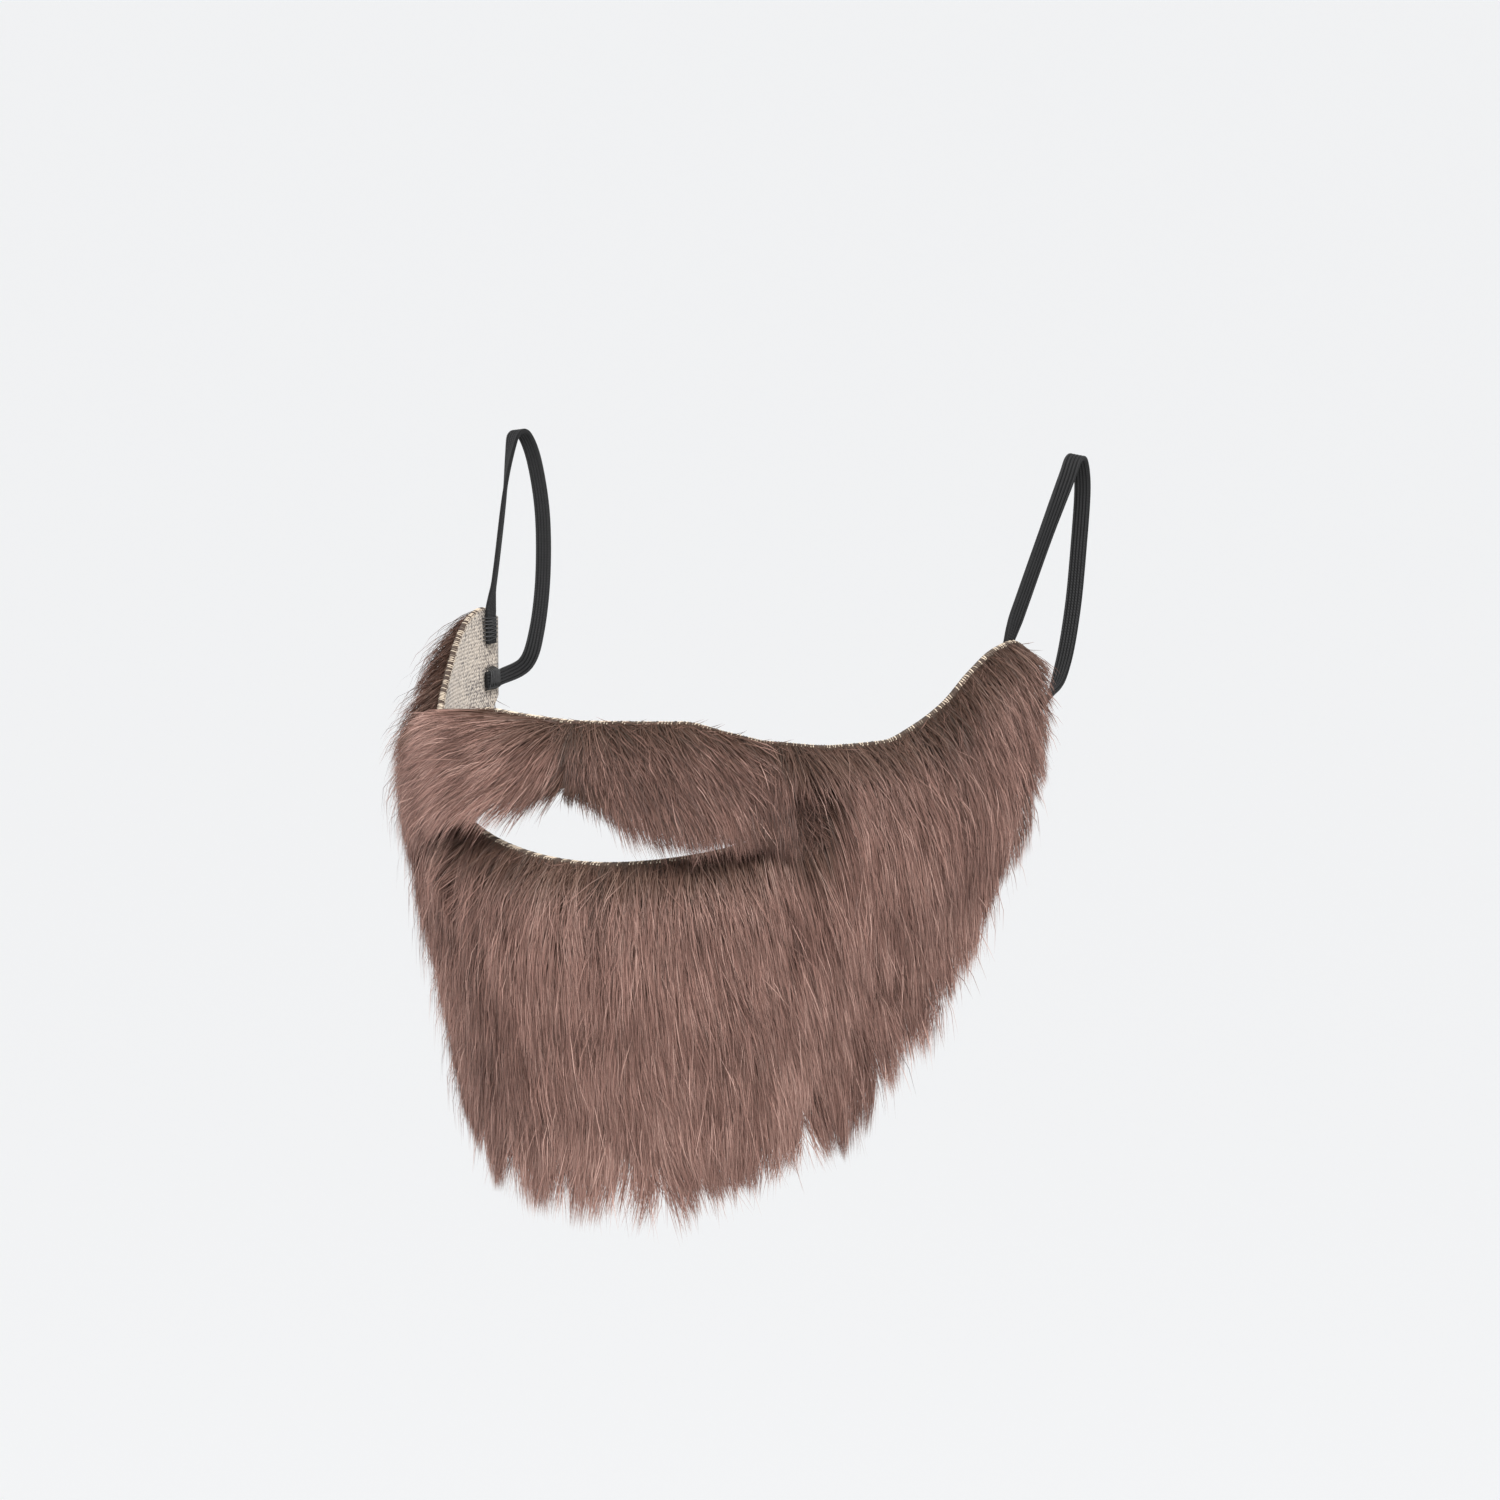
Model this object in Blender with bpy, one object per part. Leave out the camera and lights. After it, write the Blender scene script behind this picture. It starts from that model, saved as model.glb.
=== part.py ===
"""Costume full beard, modelled on the curve that it takes when it is worn.

One sheet of knit cloth wraps the lower face from ear to ear, with a hole for the mouth. Fur pile
stands on its outer face: a moustache parted under the nose, and a beard that hangs past the hem.
A flat elastic loop on each side goes round the ear.

Metres. +Z is up, the face looks along -Y, and the wearer's left is at +X. The origin is on the
cloth's inner face, on the midline between the nose and the mouth, where the beard sits on the lip.
"""

import math
import random
from collections import namedtuple

import bmesh
import bpy
from mathutils import Vector

# The face that the cloth follows
FACE_WIDTH = 0.150
FACE_DEPTH = 0.094

# The cloth: heights are measured from the origin
BEARD_DROP = 0.092
SIDEBURN_RISE = 0.0215
CLOTH_THICKNESS = 0.0015
SPLIT_BY_EAR = 0.3
BACK_ANGLE = 88.0

# The mouth hole: how far its three levels lie below the origin
MOUTH_WIDTH = 0.084
MOUTH_TOP = 0.009
MOUTH_CORNER = 0.0195
MOUTH_BOTTOM = 0.0262

# The fur pile
PILE_CLEARANCE = 0.0009
PILE_DEPTH = 0.0108
MOUSTACHE_DEPTH = 0.0098
PILE_OVERHANG = 0.0265
PARTING_WIDTH = 0.0012
EDGE_MARGIN = 0.0006

# The ear loops
ELASTIC_WIDTH = 0.0042
ELASTIC_THICKNESS = 0.0011
ELASTIC_CLEARANCE = 0.0005
ELASTIC_SEWN_LENGTH = 0.009
EAR_LOOP_RISE = 0.043
EAR_LOOP_DEPTH = 0.029
EAR_LOOP_FLARE = 0.0060

# How finely the curved faces are cut
CHEEK_COLUMNS = 15
MOUTH_COLUMNS = 18
CLOTH_ROWS_ABOVE_MOUTH = 3
CLOTH_ROWS_BELOW_MOUTH = 6
BEARD_LOCKS = 32
MOUSTACHE_LOCKS = 10

# Level and width of the face from section to section. level is a share of BEARD_DROP, width of
# FACE_WIDTH, setback of FACE_DEPTH, and fullness is the exponent of the section's oval.
Section = namedtuple("Section", "level width setback fullness")
FACE_SECTIONS = [
    Section(-1.36, 0.690, 0.175, 2.00),
    Section(-1.15, 0.715, 0.155, 2.00),
    Section(-1.00, 0.775, 0.117, 1.95),
    Section(-0.82, 0.820, 0.064, 1.90),
    Section(-0.60, 0.887, 0.010, 1.85),
    Section(-0.40, 0.955, -0.020, 1.85),
    Section(-0.24, 1.000, -0.030, 1.90),
    Section(0.00, 1.000, 0.000, 1.95),
    Section(0.30, 1.000, 0.000, 1.95),
]

# A station says how far round the face a point lies: 0 on the midline, 1 at the left corner of the
# mouth hole, 2 at the cloth's left end by the ear, and the same below zero on the right.

# The cloth's outline. rise is a share of SIDEBURN_RISE, drop a share of BEARD_DROP.
Outline = namedtuple("Outline", "station rise drop")
CLOTH_OUTLINE = [
    Outline(0.00, 0.33, 1.000),
    Outline(0.31, 0.35, 1.000),
    Outline(0.58, 0.36, 0.985),
    Outline(0.82, 0.24, 0.955),
    Outline(1.04, 0.12, 0.900),
    Outline(1.20, 0.05, 0.820),
    Outline(1.35, 0.06, 0.715),
    Outline(1.45, 0.19, 0.630),
    Outline(1.57, 0.42, 0.520),
    Outline(1.68, 0.72, 0.415),
    Outline(1.80, 0.94, 0.265),
    Outline(1.90, 1.00, 0.120),
    Outline(2.00, 0.86, 0.020),
]

# Where the beard's pile starts and ends, from the midline (share 0) to the ear (share 1). root and
# tip are stations. sink is 0 at the cloth's top edge and 1 at the mouth hole's lower edge or
# corner level. overhang and depth are shares of PILE_OVERHANG and PILE_DEPTH.
BeardColumn = namedtuple("BeardColumn", "share root sink tip overhang depth")
BEARD_COLUMNS = [
    BeardColumn(0.00, 0.000, 1.00, 0.000, 1.00, 1.00),
    BeardColumn(0.14, 0.320, 1.00, 0.290, 1.00, 1.00),
    BeardColumn(0.27, 0.630, 1.00, 0.590, 0.98, 1.00),
    BeardColumn(0.36, 0.850, 1.00, 0.810, 0.96, 1.00),
    BeardColumn(0.43, 1.010, 1.01, 0.980, 0.94, 1.00),
    BeardColumn(0.475, 1.070, 1.02, 1.050, 0.95, 1.00),
    BeardColumn(0.51, 1.110, 0.80, 1.100, 0.97, 1.00),
    BeardColumn(0.55, 1.122, 0.30, 1.165, 0.98, 1.00),
    BeardColumn(0.59, 1.136, 0.00, 1.225, 0.98, 1.00),
    BeardColumn(0.70, 1.316, 0.00, 1.400, 0.95, 1.00),
    BeardColumn(0.80, 1.496, 0.00, 1.580, 0.88, 1.00),
    BeardColumn(0.90, 1.700, 0.00, 1.770, 0.70, 0.92),
    BeardColumn(1.00, 1.950, 0.00, 1.975, 0.36, 0.60),
]

# The same for half of the moustache, from the foot of its parting (share 0) to the cheek.
MoustacheColumn = namedtuple("MoustacheColumn", "share root root_sink tip tip_sink depth")
MOUSTACHE_COLUMNS = [
    MoustacheColumn(0.00, 0.000, 0.46, 0.140, 0.55, 0.70),
    MoustacheColumn(0.15, 0.000, 0.22, 0.340, 0.76, 0.90),
    MoustacheColumn(0.30, 0.020, 0.02, 0.560, 0.90, 1.00),
    MoustacheColumn(0.42, 0.170, 0.01, 0.750, 0.95, 1.00),
    MoustacheColumn(0.55, 0.370, 0.01, 0.930, 0.96, 1.00),
    MoustacheColumn(0.70, 0.610, 0.01, 1.040, 0.95, 1.00),
    MoustacheColumn(0.85, 0.860, 0.01, 1.088, 0.78, 0.95),
    MoustacheColumn(1.00, 1.075, 0.02, 1.100, 0.30, 0.80),
]

# The pile's height from root to tip, as shares of its depth, on a lock's ridge and in the groove
# between two locks. step says whether a tier of locks ends there.
PileRow = namedtuple("PileRow", "share ridge groove step")
BEARD_ROWS = [
    PileRow(0.00, 0.14, 0.14, 0),
    PileRow(0.06, 0.50, 0.44, 0),
    PileRow(0.15, 0.84, 0.68, 0),
    PileRow(0.25, 1.04, 0.74, 1),
    PileRow(0.28, 0.86, 0.70, 1),
    PileRow(0.46, 1.04, 0.76, -1),
    PileRow(0.49, 0.88, 0.70, -1),
    PileRow(0.67, 1.04, 0.72, 1),
    PileRow(0.70, 0.88, 0.66, 1),
    PileRow(0.84, 0.92, 0.60, 0),
    PileRow(0.93, 0.66, 0.46, 0),
    PileRow(1.00, 0.36, 0.34, 0),
]
MOUSTACHE_ROWS = [
    PileRow(0.00, 0.14, 0.14, 0),
    PileRow(0.12, 0.62, 0.52, 0),
    PileRow(0.34, 1.02, 0.78, 1),
    PileRow(0.38, 0.88, 0.72, 1),
    PileRow(0.66, 1.00, 0.72, -1),
    PileRow(0.71, 0.84, 0.64, -1),
    PileRow(0.88, 0.62, 0.46, 0),
    PileRow(1.00, 0.28, 0.26, 0),
]

# The inner face of the pile lies on the cloth and leaves it only past the hem
InnerRow = namedtuple("InnerRow", "share lift")
BEARD_INNER_ROWS = [
    InnerRow(0.00, 0.00),
    InnerRow(0.10, 0.00),
    InnerRow(0.20, 0.00),
    InnerRow(0.30, 0.00),
    InnerRow(0.40, 0.00),
    InnerRow(0.50, 0.00),
    InnerRow(0.60, 0.00),
    InnerRow(0.70, 0.00),
    InnerRow(0.80, 0.02),
    InnerRow(0.90, 0.10),
    InnerRow(1.00, 0.20),
]
MOUSTACHE_INNER_ROWS = [
    InnerRow(0.00, 0.00),
    InnerRow(0.30, 0.00),
    InnerRow(0.60, 0.00),
    InnerRow(0.80, 0.03),
    InnerRow(1.00, 0.08),
]

# The columns across one lock: how far each stands up to the ridge, and reaches towards the point
LockColumn = namedtuple("LockColumn", "ridge point")
LOCK = [
    LockColumn(0.00, 0.00),
    LockColumn(0.72, 0.45),
    LockColumn(1.00, 1.00),
    LockColumn(0.72, 0.55),
]

# Shares of a lock's length: how deep the points are cut, and how far a tier's edge zigzags
BEARD_NOTCH = 0.14
MOUSTACHE_NOTCH = 0.16
TIER_ZIGZAG = 0.035

# How much the single locks differ: the least share of the notch that a point fills, and the
# range of ridge heights
LEAST_REACH = 0.55
LEAST_RIDGE = 0.90
MOST_RIDGE = 1.04

# The free run of an ear loop, in shares of its rise, depth and flare, counted from the point
# where it leaves the sideburn. twist turns the band from flat on the head (0) to round the ear (1).
LoopPoint = namedtuple("LoopPoint", "back up out twist")
EAR_LOOP = [
    LoopPoint(0.17, 0.28, 0.20, 0.00),
    LoopPoint(0.43, 0.62, 0.62, 0.05),
    LoopPoint(0.66, 0.89, 0.95, 0.45),
    LoopPoint(0.80, 1.00, 1.05, 0.90),
    LoopPoint(0.95, 0.99, 1.00, 1.00),
    LoopPoint(1.08, 0.82, 0.85, 1.00),
    LoopPoint(1.13, 0.50, 0.60, 1.00),
    LoopPoint(1.08, 0.12, 0.45, 1.00),
    LoopPoint(0.93, -0.20, 0.35, 0.90),
    LoopPoint(0.70, -0.38, 0.25, 0.50),
]
LOOP_STEPS = 3

# Where the loop is sewn on: its top end at a station, its low end at a share of the cloth's end,
# from the hem up
TOP_ANCHOR_STATION = 1.923
LOW_ANCHOR_SHARE = 0.24


def lookup(rows, key, x):
    """The other columns of a table at x, on a smooth curve through its rows."""
    fields = [name for name in rows[0]._fields if name != key]
    at = [getattr(row, key) for row in rows]
    x = min(max(x, at[0]), at[-1])
    right = next(i for i in range(1, len(at)) if x <= at[i] or i == len(at) - 1)
    left = right - 1
    span = at[right] - at[left]
    t = (x - at[left]) / span
    found = {}
    for field in fields:
        value = [getattr(row, field) for row in rows]

        def slope(i):
            if i == 0 or i == len(at) - 1:
                return (value[right] - value[left]) / span
            before = (value[i] - value[i - 1]) / (at[i] - at[i - 1])
            after = (value[i + 1] - value[i]) / (at[i + 1] - at[i])
            return 0.0 if before * after <= 0 else 2 * before * after / (before + after)

        found[field] = (
            (2 * t**3 - 3 * t**2 + 1) * value[left]
            + (t**3 - 2 * t**2 + t) * span * slope(left)
            + (3 * t**2 - 2 * t**3) * value[right]
            + (t**3 - t**2) * span * slope(right)
        )
    return found


def mix(a, b, t):
    return a + (b - a) * t


def smooth(t):
    t = min(max(t, 0.0), 1.0)
    return t * t * (3 - 2 * t)


def face_surface(angle, height):
    """A point of the cloth's inner face, by its angle from the midline round the head's axis."""
    section = lookup(FACE_SECTIONS, "level", height / BEARD_DROP)
    half_width = section["width"] * FACE_WIDTH / 2
    reach = FACE_DEPTH * (1 - section["setback"])
    power = section["fullness"]
    turn = math.radians(angle)
    across = abs(math.sin(turn)) / half_width
    ahead = abs(math.cos(turn)) / reach
    radius = (across**power + ahead**power) ** (-1 / power)
    return Vector((radius * math.sin(turn), FACE_DEPTH - radius * math.cos(turn), height))


def face_point(angle, height, lift=0.0):
    """The same point, lifted off the inner face by a distance along the outward normal."""
    point = face_surface(angle, height)
    if lift == 0.0:
        return point
    turn_step, height_step = 0.5, 0.001
    across = face_surface(angle + turn_step, height) - face_surface(angle - turn_step, height)
    upward = face_surface(angle, height + height_step) - face_surface(angle, height - height_step)
    return point + across.cross(upward).normalized() * lift


def angle_at(x, height):
    """The angle at which the inner face reaches this far from the midline."""
    low, high = 0.0, BACK_ANGLE
    for _ in range(40):
        middle = (low + high) / 2
        if face_surface(middle, height).x < x:
            low = middle
        else:
            high = middle
    return low


MOUTH_ANGLE = angle_at(MOUTH_WIDTH / 2, -MOUTH_CORNER)


def angle_of(station):
    past_mouth = max(abs(station) - 1.0, 0.0)
    angle = mix(min(abs(station), 1.0) * MOUTH_ANGLE, BACK_ANGLE, past_mouth)
    return math.copysign(angle, station)


def top_edge(station):
    return SIDEBURN_RISE * lookup(CLOTH_OUTLINE, "station", abs(station))["rise"]


def hem(station):
    return -BEARD_DROP * lookup(CLOTH_OUTLINE, "station", abs(station))["drop"]


def mouth_upper(station):
    return -mix(MOUTH_TOP, MOUTH_CORNER, min(abs(station), 1.0) ** 1.7)


def mouth_lower(station):
    return -mix(MOUTH_BOTTOM, MOUTH_CORNER, min(abs(station), 1.0) ** 2.2)


def make_object(name, points, faces, material):
    mesh = bpy.data.meshes.new(name)
    mesh.from_pydata([tuple(p) for p in points], [], faces)
    shaped = bmesh.new()
    shaped.from_mesh(mesh)
    bmesh.ops.recalc_face_normals(shaped, faces=shaped.faces)
    shaped.to_mesh(mesh)
    shaped.free()
    mesh.shade_smooth()
    mesh.set_sharp_from_angle(angle=math.radians(50))
    mesh.materials.append(material)
    made = bpy.data.objects.new(name, mesh)
    bpy.context.scene.collection.objects.link(made)
    return made


def make_material(name, colour, roughness, sheen=0.0):
    material = bpy.data.materials.new(name)
    material.use_nodes = True
    shader = material.node_tree.nodes["Principled BSDF"]
    shader.inputs["Base Color"].default_value = (*colour, 1.0)
    shader.inputs["Roughness"].default_value = roughness
    shader.inputs["Metallic"].default_value = 0.0
    shader.inputs["Sheen Weight"].default_value = sheen
    material.diffuse_color = (*colour, 1.0)
    return material


def bridge(first, second):
    """Quads between two rows of points of equal length."""
    return [
        (first[i], first[i + 1], second[i + 1], second[i]) for i in range(len(first) - 1)
    ]


def build_cloth(material):
    """The knit sheet. Each column runs from the top edge to the hem, split by the mouth hole."""
    stations = [-2 + i / CHEEK_COLUMNS for i in range(CHEEK_COLUMNS)]
    stations += [-1 + 2 * i / MOUTH_COLUMNS for i in range(MOUTH_COLUMNS)]
    stations += [1 + i / CHEEK_COLUMNS for i in range(CHEEK_COLUMNS + 1)]
    first_open = CHEEK_COLUMNS + 1
    last_open = CHEEK_COLUMNS + MOUTH_COLUMNS - 1
    points = []
    grid = {}

    def split_heights(index, station):
        if first_open <= index <= last_open:
            return mouth_upper(station), mouth_lower(station)
        beside_ear = mix(top_edge(station), hem(station), SPLIT_BY_EAR)
        level = mix(-MOUTH_CORNER, beside_ear, smooth(abs(station) - 1))
        return level, level

    def add_column(face, lift, index, station):
        angle = angle_of(station)
        upper, lower = split_heights(index, station)
        above = [
            mix(top_edge(station), upper, row / CLOTH_ROWS_ABOVE_MOUTH)
            for row in range(CLOTH_ROWS_ABOVE_MOUTH + 1)
        ]
        below = [
            mix(lower, hem(station), row / CLOTH_ROWS_BELOW_MOUTH)
            for row in range(CLOTH_ROWS_BELOW_MOUTH + 1)
        ]
        grid[face, "above", index] = range(len(points), len(points) + len(above))
        points.extend(face_point(angle, height, lift) for height in above)
        start = len(points)
        if first_open <= index <= last_open:
            points.append(face_point(angle, below[0], lift))
            shared = [start]
            start += 1
        else:
            shared = [start - 1]
        points.extend(face_point(angle, height, lift) for height in below[1:])
        grid[face, "below", index] = shared + list(range(start, len(points)))

    for index, station in enumerate(stations):
        add_column("inner", 0.0, index, station)
        add_column("outer", CLOTH_THICKNESS, index, station)

    faces = []
    for face in ("inner", "outer"):
        for part in ("above", "below"):
            for index in range(len(stations) - 1):
                faces += bridge(grid[face, part, index], grid[face, part, index + 1])
    for end in (0, len(stations) - 1):
        for part in ("above", "below"):
            faces += bridge(grid["inner", part, end], grid["outer", part, end])
    last = len(stations)
    faces += rim(grid, "above", 0, 0, last)
    faces += rim(grid, "below", -1, 0, last)
    faces += rim(grid, "above", -1, first_open - 1, last_open + 2)
    faces += rim(grid, "below", 0, first_open - 1, last_open + 2)
    return make_object("knit_backing", points, faces, material)


def rim(grid, part, row, start, stop):
    """The edge of the sheet along one row of its columns."""
    inner = [grid["inner", part, index][row] for index in range(start, stop)]
    outer = [grid["outer", part, index][row] for index in range(start, stop)]
    return bridge(inner, outer)


# Where a column of pile starts and ends, with its depth. The angles are in degrees.
PileRun = namedtuple("PileRun", "root_angle root_height tip_angle tip_height depth")


def beard_run(share):
    """The beard's column at a share of the way from the midline (0) to the ear (1 or -1)."""
    column = lookup(BEARD_COLUMNS, "share", abs(share))
    root, tip = column["root"], column["tip"]
    return PileRun(
        math.copysign(angle_of(root), share),
        mix(top_edge(root), mouth_lower(root), column["sink"]) - EDGE_MARGIN,
        math.copysign(angle_of(tip), share),
        hem(tip) - PILE_OVERHANG * column["overhang"],
        PILE_DEPTH * column["depth"],
    )


def moustache_run(side, share):
    """The moustache's column on the side 1 or -1, from the parting's foot (0) to the cheek (1)."""
    column = lookup(MOUSTACHE_COLUMNS, "share", share)
    root, tip = column["root"], column["tip"]
    half_parting = math.degrees(PARTING_WIDTH / 2 / FACE_DEPTH)
    return PileRun(
        side * (angle_of(root) + half_parting),
        mix(top_edge(root), mouth_lower(root), column["root_sink"]) - EDGE_MARGIN,
        side * angle_of(tip),
        mix(top_edge(tip), mouth_lower(tip), column["tip_sink"]),
        MOUSTACHE_DEPTH * column["depth"],
    )


def lock_variety(seed, locks):
    """The reach and ridge height of each lock, different from lock to lock but not from run to run."""
    dice = random.Random(seed)
    return [
        (dice.uniform(LEAST_REACH, 1.0), dice.uniform(LEAST_RIDGE, MOST_RIDGE))
        for _ in range(locks)
    ]


def build_pile(name, run_at, locks, rows, inner_rows, notch, seed, material):
    """Fur as locks side by side, one solid. run_at gives the column at a share from 0 to 1."""
    variety = lock_variety(seed, locks)
    points, outer, inner = [], [], []
    columns = locks * len(LOCK)
    for index in range(columns + 1):
        run = run_at(index / columns)
        lock, place = divmod(index, len(LOCK))
        reach, tallness = variety[min(lock, locks - 1)]
        cut = notch * (1 - LOCK[place].point * reach)
        sway = TIER_ZIGZAG * (LOCK[place].point - 0.5) * (1 if lock % 2 else -1)

        def add_point(along, lift):
            along *= 1 - cut * smooth(along)
            angle = mix(run.root_angle, run.tip_angle, along)
            height = mix(run.root_height, run.tip_height, along)
            stand_off = CLOTH_THICKNESS + PILE_CLEARANCE + lift * run.depth
            points.append(face_point(angle, height, stand_off))
            return len(points) - 1

        column = []
        for row in rows:
            lift = mix(row.groove, row.ridge * tallness, LOCK[place].ridge)
            column.append(add_point(row.share + row.step * sway, lift))
        outer.append(column)
        if index % 2 == 0:
            inner.append([add_point(row.share, row.lift) for row in inner_rows])

    faces = []
    for left, right in zip(outer, outer[1:]):
        faces += bridge(left, right)
    for left, right in zip(inner, inner[1:]):
        faces += bridge(left, right)
    for end in (0, -1):
        faces.append((*inner[end], *outer[end][::-1]))
        for pair in range(len(inner) - 1):
            over = [outer[2 * pair + step][end] for step in range(3)]
            faces.append((inner[pair + 1][end], inner[pair][end], *over))
    return make_object(name, points, faces, material)


def build_beard_fur(material):
    def run_at(share):
        return beard_run(2 * share - 1)

    rows = BEARD_ROWS, BEARD_INNER_ROWS
    return build_pile("beard_fur", run_at, BEARD_LOCKS, *rows, BEARD_NOTCH, 21, material)


def build_moustache(name, side, material):
    def run_at(share):
        return moustache_run(side, share)

    rows = MOUSTACHE_ROWS, MOUSTACHE_INNER_ROWS
    return build_pile(
        name, run_at, MOUSTACHE_LOCKS, *rows, MOUSTACHE_NOTCH, 5 + side, material
    )


def curve_through(points, steps):
    """Points on a smooth curve through the given ones, with so many steps from each to the next."""
    ends = [2 * points[0] - points[1], *points, 2 * points[-1] - points[-2]]
    found = []
    for i in range(1, len(ends) - 2):
        before, start, stop, after = ends[i - 1 : i + 3]
        for step in range(steps):
            t = step / steps
            found.append(
                0.5
                * (
                    2 * start
                    + (stop - before) * t
                    + (2 * before - 5 * start + 4 * stop - after) * t**2
                    + (3 * start - before - 3 * stop + after) * t**3
                )
            )
    return found + [points[-1]]


def ear_loop_route():
    """The middle line of the left ear loop, with its twist as a fourth number."""
    lift = -(ELASTIC_CLEARANCE + ELASTIC_THICKNESS / 2)
    top_angle = angle_of(TOP_ANCHOR_STATION)
    top_height = top_edge(TOP_ANCHOR_STATION)
    sewn_top = [
        face_point(top_angle, top_height - ELASTIC_SEWN_LENGTH * share, lift)
        for share in (1.0, 0.5, 0.0)
    ]
    leave = sewn_top[-1]
    free = [
        leave + Vector((EAR_LOOP_FLARE * p.out, EAR_LOOP_DEPTH * p.back, EAR_LOOP_RISE * p.up))
        for p in EAR_LOOP
    ]
    low_height = mix(hem(2.0), top_edge(2.0), LOW_ANCHOR_SHARE)
    inward = math.degrees(ELASTIC_SEWN_LENGTH / (FACE_WIDTH / 2))
    sewn_low = [
        face_point(BACK_ANGLE - inward * share, low_height, lift) for share in (0.0, 0.5, 1.0)
    ]
    route = sewn_top + free + sewn_low
    twists = [0.0] * len(sewn_top) + [p.twist for p in EAR_LOOP] + [0.0] * len(sewn_low)
    return curve_through([Vector((*p, t)) for p, t in zip(route, twists)], LOOP_STEPS)


def build_ear_elastic(name, side, material):
    """A flat band swept along the loop. side is +1 on the wearer's left and -1 on the right."""
    route = ear_loop_route()
    middle = [p.xyz for p in route]
    centre = sum(middle, Vector()) / len(middle)
    corners = [(-0.5, 0.5), (0.5, 0.5), (0.5, -0.5), (-0.5, -0.5)]
    points = []
    for i, p in enumerate(route):
        tangent = middle[min(i + 1, len(middle) - 1)] - middle[max(i - 1, 0)]
        tangent.normalize()
        flat = across_tangent(Vector((1, 0, 0)), tangent)
        around = across_tangent(middle[i] - centre, tangent)
        normal = across_tangent(flat.lerp(around, min(max(p.w, 0.0), 1.0)), tangent)
        sideways = tangent.cross(normal)
        for w, t in corners:
            corner = middle[i] + sideways * w * ELASTIC_WIDTH + normal * t * ELASTIC_THICKNESS
            points.append(Vector((side * corner.x, corner.y, corner.z)))
    sides = len(corners)
    faces = [tuple(range(sides)), tuple(range(len(points) - sides, len(points)))]
    for start in range(0, len(points) - sides, sides):
        for k in range(sides):
            after = (k + 1) % sides
            faces.append((start + k, start + after, start + sides + after, start + sides + k))
    return make_object(name, points, faces, material)


def across_tangent(direction, tangent):
    """The part of a direction square to the tangent, at length 1."""
    return (direction - tangent * direction.dot(tangent)).normalized()


def main():
    for old in list(bpy.data.objects):
        bpy.data.objects.remove(old)
    cloth = make_material("knit_cloth", (0.30, 0.25, 0.21), 0.9, 0.2)
    fur = make_material("brown_fur", (0.15, 0.095, 0.080), 0.6, 0.4)
    rubber_braid = make_material("black_elastic", (0.012, 0.012, 0.014), 0.55)
    build_cloth(cloth)
    build_beard_fur(fur)
    build_moustache("moustache_fur_left", 1, fur)
    build_moustache("moustache_fur_right", -1, fur)
    build_ear_elastic("ear_elastic_left", 1, rubber_braid)
    build_ear_elastic("ear_elastic_right", -1, rubber_braid)


main()
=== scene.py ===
# %% [markdown]
# # A costume beard
#
# The beard is one sheet of knit cloth with long pile on its outer face, and two black elastics that
# go round the ears. The frame holds its plain solids at their real size. This script gives them
# their looks: every hair of the pile is a thin ribbon of its own, the knit has its cut edge, and the
# elastics have their ribs and stitches.

# %% Open the frame
import math

import bmesh
import bpy
import numpy as np
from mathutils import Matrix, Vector
from mathutils.kdtree import KDTree


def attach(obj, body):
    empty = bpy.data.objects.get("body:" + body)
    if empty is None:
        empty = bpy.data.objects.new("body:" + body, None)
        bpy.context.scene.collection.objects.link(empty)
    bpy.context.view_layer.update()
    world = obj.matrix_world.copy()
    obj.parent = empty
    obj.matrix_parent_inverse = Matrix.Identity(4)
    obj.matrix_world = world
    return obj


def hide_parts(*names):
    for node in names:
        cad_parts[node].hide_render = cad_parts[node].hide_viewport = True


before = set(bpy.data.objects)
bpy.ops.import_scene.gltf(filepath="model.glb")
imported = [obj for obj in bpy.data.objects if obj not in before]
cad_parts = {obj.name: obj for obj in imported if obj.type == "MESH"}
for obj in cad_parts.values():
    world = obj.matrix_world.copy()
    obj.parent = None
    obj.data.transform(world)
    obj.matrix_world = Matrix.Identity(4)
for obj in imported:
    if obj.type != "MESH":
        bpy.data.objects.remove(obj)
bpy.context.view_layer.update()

# %% [markdown]
# ## The form of the face
#
# Cloth and hair both follow one curved form, the lower face. It could be read off the solid's mesh,
# but hair also grows past the cloth's edge, where there is no mesh. So the form is a formula: level
# sections that are ovals, with a table that says how wide, deep and full each one is. The table is
# the one that the solids were built from.

# %% Sections of the face
FACE_WIDTH = 0.150
FACE_DEPTH = 0.094
BEARD_DROP = 0.092
SIDEBURN_RISE = 0.0215
CLOTH_THICKNESS = 0.0015
BACK_ANGLE = 88.0
FRAME_TURN = 0.5
FRAME_CLIMB = 0.001

# level is a share of BEARD_DROP, width of FACE_WIDTH, setback of FACE_DEPTH
FACE_SECTIONS = {
    "level": [-1.36, -1.15, -1.00, -0.82, -0.60, -0.40, -0.24, 0.00, 0.30],
    "width": [0.690, 0.715, 0.775, 0.820, 0.887, 0.955, 1.000, 1.000, 1.000],
    "setback": [0.175, 0.155, 0.117, 0.064, 0.010, -0.020, -0.030, 0.000, 0.000],
    "fullness": [2.00, 2.00, 1.95, 1.90, 1.85, 1.85, 1.90, 1.95, 1.95],
}


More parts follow.
